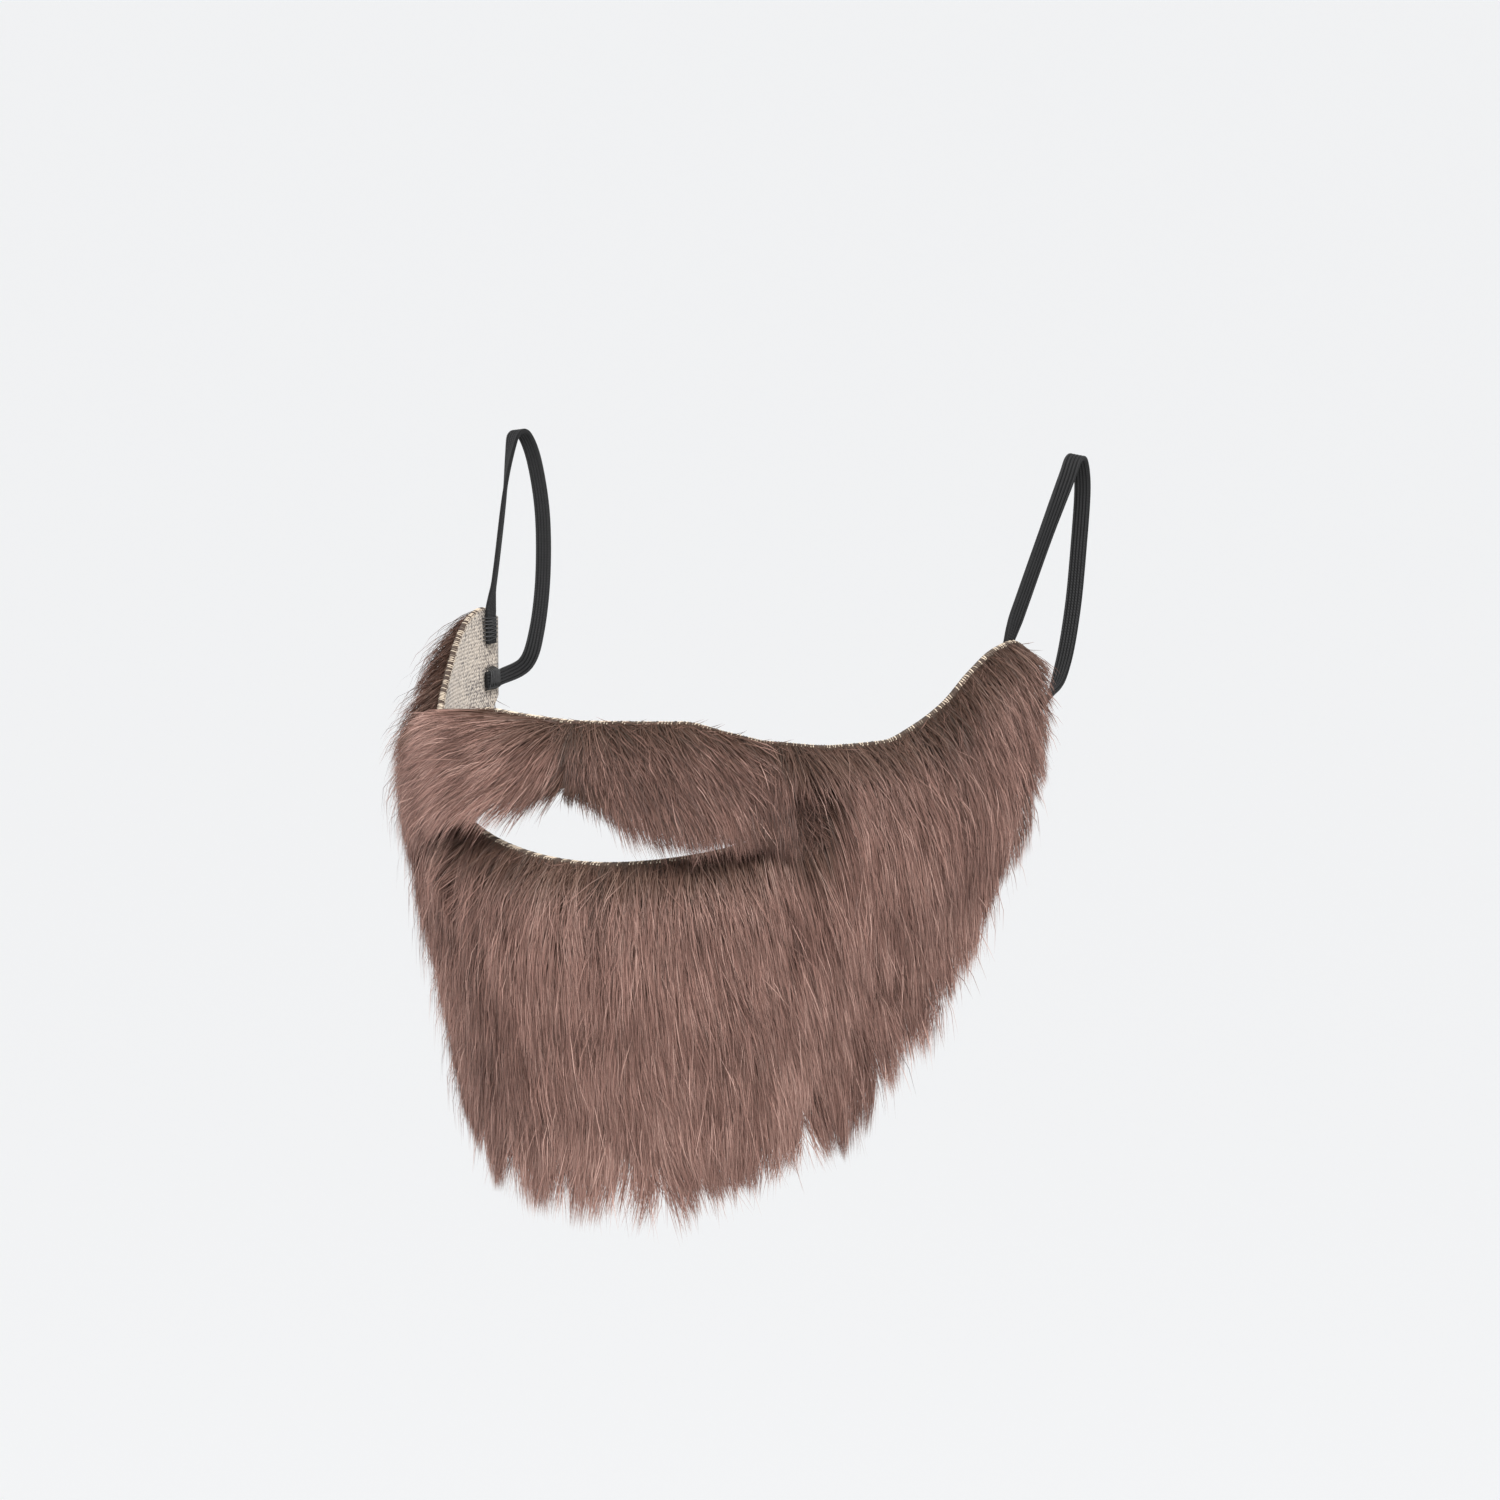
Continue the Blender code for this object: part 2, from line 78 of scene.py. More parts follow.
def smooth_column(table, key, column, at):
    """A column of a table at many places, on a smooth curve that never overshoots its rows."""
    keys, values = np.array(table[key], float), np.array(table[column], float)
    at = np.clip(np.asarray(at, float), keys[0], keys[-1])
    secant = np.diff(values) / np.diff(keys)
    slope = np.concatenate([secant[:1], np.zeros(len(keys) - 2), secant[-1:]])
    before, after = secant[:-1], secant[1:]
    same_way = before * after > 0
    slope[1:-1][same_way] = (2 * before * after)[same_way] / (before + after)[same_way]
    left = np.clip(np.searchsorted(keys, at, side="left") - 1, 0, len(keys) - 2)
    span = keys[left + 1] - keys[left]
    t = (at - keys[left]) / span
    return (
        (2 * t**3 - 3 * t**2 + 1) * values[left]
        + (t**3 - 2 * t**2 + t) * span * slope[left]
        + (3 * t**2 - 2 * t**3) * values[left + 1]
        + (t**3 - t**2) * span * slope[left + 1]
    )


def face_surface(angle, height):
    """Points on the cloth's inner face, by angle from the midline in degrees and by height."""
    level = height / BEARD_DROP
    half_width = smooth_column(FACE_SECTIONS, "level", "width", level) * FACE_WIDTH / 2
    reach = FACE_DEPTH * (1 - smooth_column(FACE_SECTIONS, "level", "setback", level))
    power = smooth_column(FACE_SECTIONS, "level", "fullness", level)
    turn = np.radians(angle)
    across, ahead = np.abs(np.sin(turn)) / half_width, np.abs(np.cos(turn)) / reach
    radius = (across**power + ahead**power) ** (-1 / power)
    return np.stack(
        [radius * np.sin(turn), FACE_DEPTH - radius * np.cos(turn), height + 0 * radius], axis=-1
    )


def unit(vectors):
    return vectors / np.maximum(np.linalg.norm(vectors, axis=-1, keepdims=True), 1e-12)


def by_station(table, column, station):
    """A column of a table whose rows hold for both sides of the beard."""
    return smooth_column(table, "station", column, np.abs(station))


def by_side(table, station, on_left):
    """The same with a column for each side."""
    left, right = (by_station(table, side, station) for side in ("left", "right"))
    return np.where(on_left, left, right)


def eased(share):
    """A share from 0 to 1 that starts and ends gently."""
    return share * share * (3 - 2 * share)


def face_frame(angle, height):
    """Point, outward normal, and how many metres a degree and a metre of height are worth there."""
    turn, climb = FRAME_TURN, FRAME_CLIMB
    point = face_surface(angle, height)
    across = (face_surface(angle + turn, height) - face_surface(angle - turn, height)) / (2 * turn)
    upward = (face_surface(angle, height + climb) - face_surface(angle, height - climb)) / (2 * climb)
    normal = unit(np.cross(across, upward))
    return point, normal, np.linalg.norm(across, axis=-1), np.linalg.norm(upward, axis=-1)


print("ear to ear:", round(2 * float(face_surface(BACK_ANGLE, 0.0)[0]), 4), "m")

# %% [markdown]
# ## The outline of the cloth
#
# A station says how far round the face a point lies: 0 on the midline, 1 at the corner of the mouth
# hole and 2 at the cloth's end by the ear. The top edge, the hem and the mouth hole are heights that
# depend on the station alone, so cutting the pattern to shape takes no Boolean.

# %% Outline of the cloth
MOUTH_WIDTH = 0.084
MOUTH_TOP = 0.009
MOUTH_CORNER = 0.0195
MOUTH_BOTTOM = 0.0262
MOUTH_ENDS = (-0.84, 1.06)
UPPER_LIP_POWER = 2.6
LOWER_LIP_POWER = 1.8
ANGLE_SAMPLES = 2000

CLOTH_OUTLINE = {
    "station": [0.00, 0.31, 0.58, 0.82, 1.04, 1.20, 1.35, 1.45, 1.57, 1.68, 1.80, 1.90, 2.00],
    "rise": [0.33, 0.35, 0.36, 0.24, 0.12, 0.05, 0.06, 0.19, 0.42, 0.72, 0.94, 1.00, 0.86],
    "drop": [1.000, 1.000, 0.985, 0.955, 0.900, 0.820, 0.715, 0.630, 0.520, 0.415, 0.265, 0.120,
             0.020],
}


def top_edge(station):
    return SIDEBURN_RISE * by_station(CLOTH_OUTLINE, "rise", station)


def hem(station):
    return -BEARD_DROP * by_station(CLOTH_OUTLINE, "drop", station)


def mouth_share(station):
    """0 in the middle of the mouth hole and 1 at its corners."""
    middle, half = sum(MOUTH_ENDS) / 2, (MOUTH_ENDS[1] - MOUTH_ENDS[0]) / 2
    return np.abs(station - middle) / half


def mouth_edge(station, middle, power):
    share = np.minimum(mouth_share(station), 1) ** power
    return -(middle + (MOUTH_CORNER - middle) * share)


def mouth_upper(station):
    return mouth_edge(station, MOUTH_TOP, UPPER_LIP_POWER)


def mouth_lower(station):
    return mouth_edge(station, MOUTH_BOTTOM, LOWER_LIP_POWER)


fine_angles = np.linspace(0, BACK_ANGLE, ANGLE_SAMPLES)
at_corner = face_surface(fine_angles, np.full_like(fine_angles, -MOUTH_CORNER))
MOUTH_ANGLE = float(np.interp(MOUTH_WIDTH / 2, at_corner[:, 0], fine_angles))


def angle_of(station):
    past = np.maximum(np.abs(station) - 1, 0)
    return np.sign(station) * (
        MOUTH_ANGLE * np.minimum(np.abs(station), 1) + (BACK_ANGLE - MOUTH_ANGLE) * past
    )


def station_of(angle):
    past = np.maximum(np.abs(angle) - MOUTH_ANGLE, 0) / (BACK_ANGLE - MOUTH_ANGLE)
    return np.sign(angle) * (np.minimum(np.abs(angle) / MOUTH_ANGLE, 1) + past)


print("the mouth's corner lies", round(MOUTH_ANGLE, 1), "degrees from the midline")

# %% [markdown]
# ## Shader maths as Python
#
# A material's colour is worked out by nodes. Wrapping a node's output in a small class lets the same
# sums be written as expressions: `1 - speck * 0.3` adds its Math nodes by itself. Any other node
# comes from one method, which takes the node's type, its settings and what goes into its sockets.


# %% Wires and finishes
class Wire:
    """One output of a node. Arithmetic with numbers or other wires adds Math nodes."""

    def __init__(self, finish, socket):
        self.finish = finish
        self.socket = socket

    def maths(self, operation, *inputs, clamp=False):
        settings = {"operation": operation, "use_clamp": clamp}
        return self.finish.node("ShaderNodeMath", settings, dict(enumerate(inputs)))

    def __add__(self, other):
        return self.maths("ADD", self, other)

    def __radd__(self, other):
        return self.maths("ADD", other, self)

    def __sub__(self, other):
        return self.maths("SUBTRACT", self, other)

    def __rsub__(self, other):
        return self.maths("SUBTRACT", other, self)

    def __mul__(self, other):
        return self.maths("MULTIPLY", self, other)

    def __rmul__(self, other):
        return self.maths("MULTIPLY", other, self)

    def __truediv__(self, other):
        return self.maths("DIVIDE", self, other)

    def __pow__(self, other):
        return self.maths("POWER", self, other)

    def sine(self):
        return self.maths("SINE", self)

    def fraction(self):
        return self.maths("FRACT", self)

    def size(self):
        return self.maths("ABSOLUTE", self)

    def within(self):
        """The value kept between 0 and 1."""
        return self.maths("ADD", self, 0.0, clamp=True)


class Finish:
    """A material under construction round its Principled shader."""

    def __init__(self, name):
        self.material = bpy.data.materials.new(name)
        self.material.use_nodes = True
        self.tree = self.material.node_tree
        self.shader = self.tree.nodes["Principled BSDF"]

    def node(self, kind, settings=None, sockets=None, out=0):
        """Adds a node: its settings first, then its sockets' values or wires. Returns one output."""
        made = self.tree.nodes.new(kind)
        for name, value in (settings or {}).items():
            if name == "stops":
                self.set_stops(made.color_ramp, value)
            else:
                setattr(made, name, value)
        for name, value in (sockets or {}).items():
            self.plug(made.inputs[name], value)
        return Wire(self, made.outputs[out])

    def plug(self, socket, value):
        if isinstance(value, Wire):
            self.tree.links.new(value.socket, socket)
        else:
            socket.default_value = value

    def set_stops(self, ramp, stops):
        while len(ramp.elements) < len(stops):
            ramp.elements.new(0.5)
        for element, (place, colour) in zip(ramp.elements, stops):
            element.position = place
            element.color = (*colour, 1.0)

    def mix(self, share, first, second):
        """A colour between two, each a wire or an (r, g, b)."""
        first, second = (c if isinstance(c, Wire) else (*c, 1.0) for c in (first, second))
        return self.node(
            "ShaderNodeMix", {"data_type": "RGBA"}, {0: share, 6: first, 7: second}, out=2
        )

    def map_places(self, name):
        """Both coordinates of one of the mesh's maps."""
        place = self.node("ShaderNodeUVMap", {"uv_map": name})
        return [self.node("ShaderNodeSeparateXYZ", sockets={0: place}, out=k) for k in (0, 1)]

    def noise(self, scale, detail):
        """Random flecks that stay with the object."""
        place = self.node("ShaderNodeTexCoord", out=3)
        sockets = {"Vector": place, "Scale": scale, "Detail": detail}
        return self.node("ShaderNodeTexNoise", sockets=sockets)

    def bump(self, height, strength, distance):
        sockets = {"Strength": strength, "Distance": distance, "Height": height}
        return self.node("ShaderNodeBump", sockets=sockets)

    def surface(self, **sockets):
        for name, value in sockets.items():
            self.plug(self.shader.inputs[name.replace("_", " ")], value)
        return self.material


def dress(piece, material, slot, *nodes):
    """Gives a piece its material and body, and says which plain solids it replaces; slot is not used.
    """
    piece.data.materials.append(material)
    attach(piece, "root")
    if nodes:
        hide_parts(*nodes)


# %% [markdown]
# ## How the pile is combed
#
# Faux fur has a nap: a direction in which all its hair lies. Here the moustache is combed to both
# sides from a parting, the chin hangs straight down, and the cheeks lean back towards the ears. The
# angles are measured from straight down, outwards. Two lines of the beard have their own angles, the
# top edge and the lower part, and the moustache has its own on each side of the parting.

# %% Comb the nap
BEARD_NAP = {
    "station": [0.00, 0.25, 0.50, 0.80, 1.00, 1.085, 1.10, 1.22, 1.40, 1.60, 1.85, 2.00],
    "top": [0.0, 2.0, 4.0, 5.0, -4.0, -12.0, 15.0, 13.0, 7.0, 3.0, 6.0, 10.0],
    "low": [0.0, 1.5, 3.0, 5.0, 6.0, 7.0, 7.0, 7.0, 7.0, 6.0, 4.0, 2.0],
}
MOUSTACHE_NAP = {
    "station": [0.00, 0.10, 0.20, 0.45, 0.70, 0.90, 1.00, 1.08, 1.14],
    "left": [14.0, 28.0, 38.0, 42.0, 36.0, 22.0, 7.0, -7.0, -8.0],
    "right": [22.0, 54.0, 74.0, 86.0, 82.0, 68.0, 54.0, 42.0, 32.0],
}
NAP_TURN = 0.034
HANG_DROP = 0.030
MOST_HANG = 0.7
MOUSTACHE_END = 1.056
MOUSTACHE_FOOT = 0.0030
COMB_DOWN_BY_ROW = (0.65, 0.42)
COMB_DOWN_BY_TIP = 0.14


def in_moustache(station, height):
    """True where a hair belongs to the moustache: above the mouth and inside its corners."""
    level = np.maximum(MOUSTACHE_FOOT - MOUTH_CORNER, mouth_upper(station))
    return (np.abs(station) < MOUSTACHE_END) & (height > level)


def nap(angle, height, moustache):
    """The comb's direction in degrees from straight down, outwards."""
    station = station_of(angle)
    below = np.clip((top_edge(station) - height) / NAP_TURN, 0, 1)
    if moustache:
        by_row = np.where(angle > 0, *COMB_DOWN_BY_ROW)
        return by_side(MOUSTACHE_NAP, station, angle > 0) * (1 - by_row * below)
    top, low = by_station(BEARD_NAP, "top", station), by_station(BEARD_NAP, "low", station)
    hang = 1 - np.clip((hem(station) - height) / HANG_DROP, 0, MOST_HANG)
    return (top + (low - top) * eased(below)) * hang


# %% [markdown]
# ## Unevenness that repeats
#
# Real pile is uneven: whole patches lean, bunch up or catch the light. A sum of a few plane waves
# with fixed random directions gives a soft unevenness that is the same on every run.


# %% Make the unevenness
WAVES = 9
WAVE_LENGTHS = (0.7, 1.6)
WAVE_PEAK = 1.6


def ripple(points, size, seed):
    """A soft random value from about -1 to 1 for each point, varying over lengths of about size."""
    dice = np.random.default_rng(seed)
    directions = unit(dice.normal(size=(WAVES, 3)))
    lengths = size * dice.uniform(*WAVE_LENGTHS, WAVES)
    phases = dice.uniform(0, 2 * np.pi, WAVES)
    turns = points @ (directions / lengths[:, None]).T * 2 * np.pi + phases
    return np.sin(turns).sum(axis=-1) / math.sqrt(WAVES / 2) / WAVE_PEAK


def uneven(points, ripples, seed=0):
    """The sum of some ripples, given as rows of height, size and a number added to the seed."""
    return sum(high * ripple(points, size, seed + number) for high, size, number in ripples)


# %% [markdown]
# ## Where the hairs are rooted
#
# Roots are scattered evenly over the outer face of the cloth. Random points are thrown on the sheet
# and kept in proportion to the real area that each stands for, and those that miss the cloth, or
# fall in the mouth hole, are thrown away. Between the end of the moustache and the cheek the pile is
# parted down to the ground, which leaves a dark cleft with hardly any long hair.

# %% Scatter the roots
EDGE_SETBACK = 0.00015
LAST_STATION = 1.996
BEARD_HAIRS = 88000
MOUSTACHE_HAIRS = 11500
UNDER_HAIRS = 26000
THROWN_AT_ONCE = 120000
CLEFT_END = 1.158
CLEFT_FOOT = -0.0215
CLEFT_TOP = -0.0030
UNDER_REACH = 0.010
HEM_BAND = 0.004


def on_cloth(station, height):
    inside = (height < top_edge(station) - EDGE_SETBACK) & (height > hem(station) + EDGE_SETBACK)
    beside_mouth = (
        (mouth_share(station) > 1.0)
        | (height > mouth_upper(station) + EDGE_SETBACK)
        | (height < mouth_lower(station) - EDGE_SETBACK)
    )
    return inside & beside_mouth & (np.abs(station) < LAST_STATION)


def scatter(count, keep, seed):
    """So many roots as angles and heights, evenly spread where keep(station, height) is true."""
    dice = np.random.default_rng(seed)
    angles, heights = np.zeros(0), np.zeros(0)
    while len(angles) < count:
        angle = dice.uniform(-BACK_ANGLE, BACK_ANGLE, THROWN_AT_ONCE)
        height = dice.uniform(-BEARD_DROP, SIDEBURN_RISE, THROWN_AT_ONCE)
        _, _, across, upward = face_frame(angle, height)
        area = across * upward
        kept = dice.uniform(0, area.max(), len(area)) < area
        station = station_of(angle)
        kept &= on_cloth(station, height) & keep(station, height)
        angles, heights = np.append(angles, angle[kept]), np.append(heights, height[kept])
    return angles[:count], heights[:count]


def in_cleft(station, height):
    beside = (np.abs(station) > MOUSTACHE_END) & (np.abs(station) < CLEFT_END)
    return beside & (height < CLEFT_TOP) & (height > CLEFT_FOOT)


def in_beard(station, height):
    return ~in_moustache(station, height) & ~in_cleft(station, height)


def edge_distance(station, height):
    """How far a root lies below the edge that it can be seen from: the top or the mouth's."""
    below_top = top_edge(station) - height
    below_mouth = np.where(mouth_share(station) < 1, mouth_lower(station) - height, below_top)
    return np.where(below_mouth > 0, np.minimum(below_top, below_mouth), below_top)


def near_hem(station, height):
    return height - hem(station) < HEM_BAND


def near_edge(station, height):
    by_cut = edge_distance(station, height) < UNDER_REACH
    return by_cut | in_cleft(station, height) | near_hem(station, height)


beard_roots = scatter(BEARD_HAIRS, in_beard, 11)
left_roots = scatter(MOUSTACHE_HAIRS, lambda at, high: in_moustache(at, high) & (at > 0), 12)
right_roots = scatter(MOUSTACHE_HAIRS, lambda at, high: in_moustache(at, high) & (at < 0), 13)
under_roots = scatter(UNDER_HAIRS, near_edge, 14)
print(len(beard_roots[0]), "long roots in the beard,", len(left_roots[0]), "in half the moustache")

# %% [markdown]
# ## How a hair grows
#
# A hair leaves the cloth at a slant, follows the nap and lies on the hairs below it, so its tip ends
# on the outside of the pile. Growing it in steps over the face's form lets it bend round the jaw.
# Past the hem it hangs on along the same form.

# %% Grow the hairs
LONG_STEPS = np.array([0.0, 0.16, 0.40, 0.70, 1.0])
SHORT_STEPS = np.array([0.0, 0.45, 1.0])
PILE_DEPTH = 0.0108
MOUSTACHE_DEPTH = 0.0098
RISE_POWER = 1.6
RUN_SHARE = 0.95
STEEPEST = 88.0
END_OVERHANG = 0.06
END_TURN = 0.16
LEAST_LEAN = 0.15


def next_lean(lean, angle, height, share, moustache):
    """The comb's direction one step on. The left moustache stops leaning out near its end."""
    if not moustache:
        return 0.5 * (lean + nap(angle, height, moustache))
    lean = lean * (1 - COMB_DOWN_BY_TIP * share)
    room = (MOUSTACHE_END + END_OVERHANG - np.abs(station_of(angle))) / END_TURN
    return np.where(angle > 0, lean * np.clip(room, LEAST_LEAN, 1), lean)


def grow(angle, height, length, depth, lean_by, moustache, steps=LONG_STEPS, most=STEEPEST):
    """Each hair's points and the normals there, as hairs by steps by 3, and where its tip ends."""
    side = np.sign(angle)
    points, normals = [], []
    lean = nap(angle, height, moustache)
    for number, share in enumerate(steps):
        if number:
            run = (share - steps[number - 1]) * length * RUN_SHARE
            lean = next_lean(lean, angle, height, share, moustache)
            heading = np.radians(np.clip(lean + lean_by, -most, most))
            _, _, across, upward = face_frame(angle, height)
            angle = angle + side * np.sin(heading) * run / across
            height = height - np.cos(heading) * run / upward
        point, normal, _, _ = face_frame(angle, height)
        lift = CLOTH_THICKNESS + depth * (1 - (1 - share) ** RISE_POWER)
        points.append(point + normal * lift[:, None])
        normals.append(normal)
    return np.stack(points, axis=1), np.stack(normals, axis=1), angle, height


# %% [markdown]
# The pile is cut to an even length, and a little shorter by the ears. The moustache is trimmed along
# a line over the mouth, lower at its ends, which is raggedly kept by the hairs' tips.

# %% Cut the hairs to length
# left and right are how high the pile stands, as shares of PILE_DEPTH
PILE = {
    "station": [0.00, 0.60, 1.00, 1.30, 1.60, 1.80, 1.92, 2.00],
    "length": [0.0305, 0.0300, 0.0280, 0.0270, 0.0255, 0.0205, 0.0150, 0.0120],
    "left": [1.00, 1.00, 1.00, 1.00, 0.95, 0.80, 0.66, 0.58],
    "right": [1.00, 1.00, 1.00, 1.03, 1.05, 1.05, 0.98, 0.90],
}
MOUSTACHE_LENGTH = 0.0240
EDGE_CUT = 0.52
EDGE_CUT_RIGHT = 0.75
EDGE_FADE = 0.0140
OVER_CLEFT_CUT = (0.12, 0.48)
OVER_CLEFT = (MOUSTACHE_END - 0.01, CLEFT_END + 0.02, CLEFT_TOP - 0.001)
RIGHT_SWELL, SWELL_FROM = 0.25, 0.2
RIGHT_THINNING, THINNING_FROM, THINNING_RUN = 0.18, 0.8, 0.25
PARTING_DEPTH = 0.55
PARTING_SLOPE = 2.2
LENGTH_SPREAD = (0.78, 1.07)
DEPTH_SPREAD = (0.70, 1.02)
SHORTER_SHARE = 0.16
SHORTER_BY = (0.4, 0.75)


def cut_by_edge(station, height, moustache):
    """The share of its length that a hair keeps: short right by an edge, whole away from it."""
    away = np.clip(edge_distance(station, height) / EDGE_FADE, 0, 1)
    least = np.where(moustache & (station < 0), EDGE_CUT_RIGHT, EDGE_CUT)
    return least + (1 - least) * eased(away)


def over_cleft(station, height):
    inner, outer, foot = OVER_CLEFT
    return (np.abs(station) > inner) & (np.abs(station) < outer) & (height > foot)


def moustache_depth(station):
    """Fuller away from the parting on the right side, and thinner again at that side's end."""
    swell = np.where(station > 0, 1.0, 1.0 + RIGHT_SWELL * np.clip(-station - SWELL_FROM, 0, 1))
    swell *= np.clip(PARTING_DEPTH + np.abs(station) * PARTING_SLOPE, 0, 1)
    thinner = RIGHT_THINNING * np.clip((-station - THINNING_FROM) / THINNING_RUN, 0, 1)
    return MOUSTACHE_DEPTH * swell * (1 - thinner)


def hair_sizes(station, height, moustache, dice):
    """Length and standing depth of each hair."""
    count = len(station)
    kept = cut_by_edge(station, height, moustache)
    if moustache:
        length, depth = MOUSTACHE_LENGTH, moustache_depth(station)
    else:
        cropped = dice.uniform(*OVER_CLEFT_CUT, count)
        kept = np.where(over_cleft(station, height), np.minimum(kept, cropped), kept)
        length = by_station(PILE, "length", station)
        depth = PILE_DEPTH * by_side(PILE, station, station > 0)
    length = length * kept * dice.uniform(*LENGTH_SPREAD, count)
    depth = depth * dice.uniform(*DEPTH_SPREAD, count)
    shorter = dice.uniform(0, 1, count) < SHORTER_SHARE
    return np.where(shorter, length * dice.uniform(*SHORTER_BY, count), length), depth


# %% Trim the moustache
# heights in millimetres
MOUSTACHE_TIPS = {
    "station": [0.00, 0.18, 0.32, 0.42, 0.60, 0.78, 0.92, 1.00, 1.06, 1.14],
    "left": [-10.8, -13.5, -18.0, -21.5, -22.0, -21.0, -20.0, -20.5, -23.5, -25.0],
    "right": [-11.0, -15.5, -20.0, -23.5, -25.5, -26.5, -27.5, -28.5, -29.0, -29.5],
}
TRIM_ROUNDS = 3
RAGGED = (-0.0025, 0.0008, 0.0032)
WISP_SHARE = 0.24
WISP_DROP = (0.0005, 0.0055)
LEAST_DROP = 0.0030
MOST_CUT = 0.3


def trim(angle, height, length, depth, lean_by, dice):
    """The moustache's hairs, cut where their tips would hang below its lower line."""
    ragged = dice.triangular(*RAGGED, len(angle))
    wisp = dice.uniform(0, 1, len(angle)) < WISP_SHARE
    ragged -= np.where(wisp, dice.uniform(*WISP_DROP, len(angle)), 0)
    for _ in range(TRIM_ROUNDS):
        _, _, tip_angle, tip_height = grow(angle, height, length, depth, lean_by, True)
        line = by_side(MOUSTACHE_TIPS, station_of(tip_angle), angle > 0) / 1000 + ragged
        room, drop = np.maximum(height - line, LEAST_DROP), np.maximum(height - tip_height, 1e-4)
        length = length * np.clip(room / drop, MOST_CUT, 1)
    return length


# %% [markdown]
# ## Hairs bunch into wisps
#
# Clean faux fur still clings together in fine wisps, and those in broader locks. Each wisp has a
# guide hair. The hairs round it start where they are rooted and lean towards the guide as they go
# out, so every wisp ends in a point. Wisps are weak inside the pile, where neighbours hold each hair
# in place, and strong in the fringe that hangs free past the hem.

# %% Bunch the hairs
# Broad locks, wisps and fine wisps: the gap between guides, the hold inside the pile and in the
# free fringe, how late along the hair it sets in, and the guides' random lean in degrees
BEARD_BUNCHES = [
    (0.0105, 0.05, 0.40, 2.0, 1.8),
    (0.0034, 0.20, 0.52, 1.5, 5.0),
    (0.0009, 0.60, 0.66, 0.9, 4.0),
]
MOUSTACHE_BUNCHES = [
    (0.0050, 0.12, 0.20, 2.0, 6.0),
    (0.0020, 0.25, 0.40, 1.4, 6.0),
    (0.0008, 0.58, 0.62, 0.9, 6.0),
]
LOCK_CUTS = [(1.02, 1.36), (0.86, 1.24), (0.94, 1.04)]
LOCK_SHADES = (0.5, 0.7, 1.0)
HAIR_HOLD = (0.55, 1.15)
LOCK_HOLD = (0.4, 1.2)
MOST_HOLD = 0.92
STRAY_HOLD = 0.1
FRIZZ_LOOSENS = 0.55
CLOTH_AREA = 0.0182
FEWEST_GUIDES = 8


def nearest(points, centres):
    tree = KDTree(len(centres))
    for index, centre in enumerate(centres):
        tree.insert(centre, index)
    tree.balance()
    return np.array([tree.find(point)[1] for point in points])


def bunch(points, at_root, guides_of, free, stray, frizz, bunches, dice):
    """Pulls hairs to their guides, fine wisps first and broad locks last. Returns points, shade."""
    count, shade = len(points), np.zeros(len(points))
    for level in (2, 1, 0):
        gap, held, loose, power, spread = bunches[level]
        wanted = int(CLOTH_AREA / gap**2 * count / (BEARD_HAIRS + 2 * MOUSTACHE_HAIRS))
        chosen = dice.choice(count, max(wanted, FEWEST_GUIDES), replace=False)
        owner = nearest(at_root, at_root[chosen])
        cut = dice.uniform(*LOCK_CUTS[level], len(chosen))
        guides = guides_of(chosen, cut, dice.normal(0, spread, len(chosen)))
        strength = (held + (loose - held) * free) * dice.uniform(*HAIR_HOLD, count)
        strength *= dice.uniform(*LOCK_HOLD, len(chosen))[owner]
        strength = np.where(stray, STRAY_HOLD, np.minimum(strength, MOST_HOLD))
        pull = (strength * (1 - FRIZZ_LOOSENS * frizz))[:, None] * LONG_STEPS**power
        points = points + (guides[owner] - points) * pull[:, :, None]
        shade += dice.normal(0, 1, len(chosen))[owner] * LOCK_SHADES[level]
    return points, shade


# %% [markdown]
# In a few places locks part and the dark inside of the pile shows as a slit: one large one beside
# the mouth, and small ones anywhere. Each has an angle, a height, and half its width and length. The
# hairs on both sides are pushed apart.

# %% Part the locks
LARGE_GAP = (-20.5, -0.0365, 0.0033, 0.0078)
SMALL_GAPS = 16
SMALL_GAP_RANGES = [(-70, 75), (-0.084, -0.032), (0.0003, 0.0007), (0.003, 0.007)]
GAP_EDGE = 3
dice = np.random.default_rng(57)
LOCK_GAPS = [LARGE_GAP]
LOCK_GAPS += [[dice.uniform(*span) for span in SMALL_GAP_RANGES] for _ in range(SMALL_GAPS)]


def part_locks(points):
    """Pushes the hairs to both sides of each gap, but leaves their roots where they are."""
    angle = np.degrees(np.arctan2(points[..., 0], FACE_DEPTH - points[..., 1]))
    sideways = np.stack([np.cos(np.radians(angle)), np.sin(np.radians(angle)), 0 * angle], axis=-1)
    moves = np.minimum(LONG_STEPS * 3, 1)
    for at_angle, at_height, half_width, half_length in LOCK_GAPS:
        aside = np.radians(angle - at_angle) * FACE_DEPTH
        along = (points[..., 2] - at_height) / half_length
        push = half_width * np.exp(-((aside / (GAP_EDGE * half_width)) ** 2) - along**2) * moves
        points = points + sideways * (np.where(aside < 0, -push, push))[..., None]
    return points


# %% [markdown]
# Now the pile can be made: each hair gets its size and lean, with patches, streaks, strays and a
# little frizz by the edges, and is grown, bunched and waved.

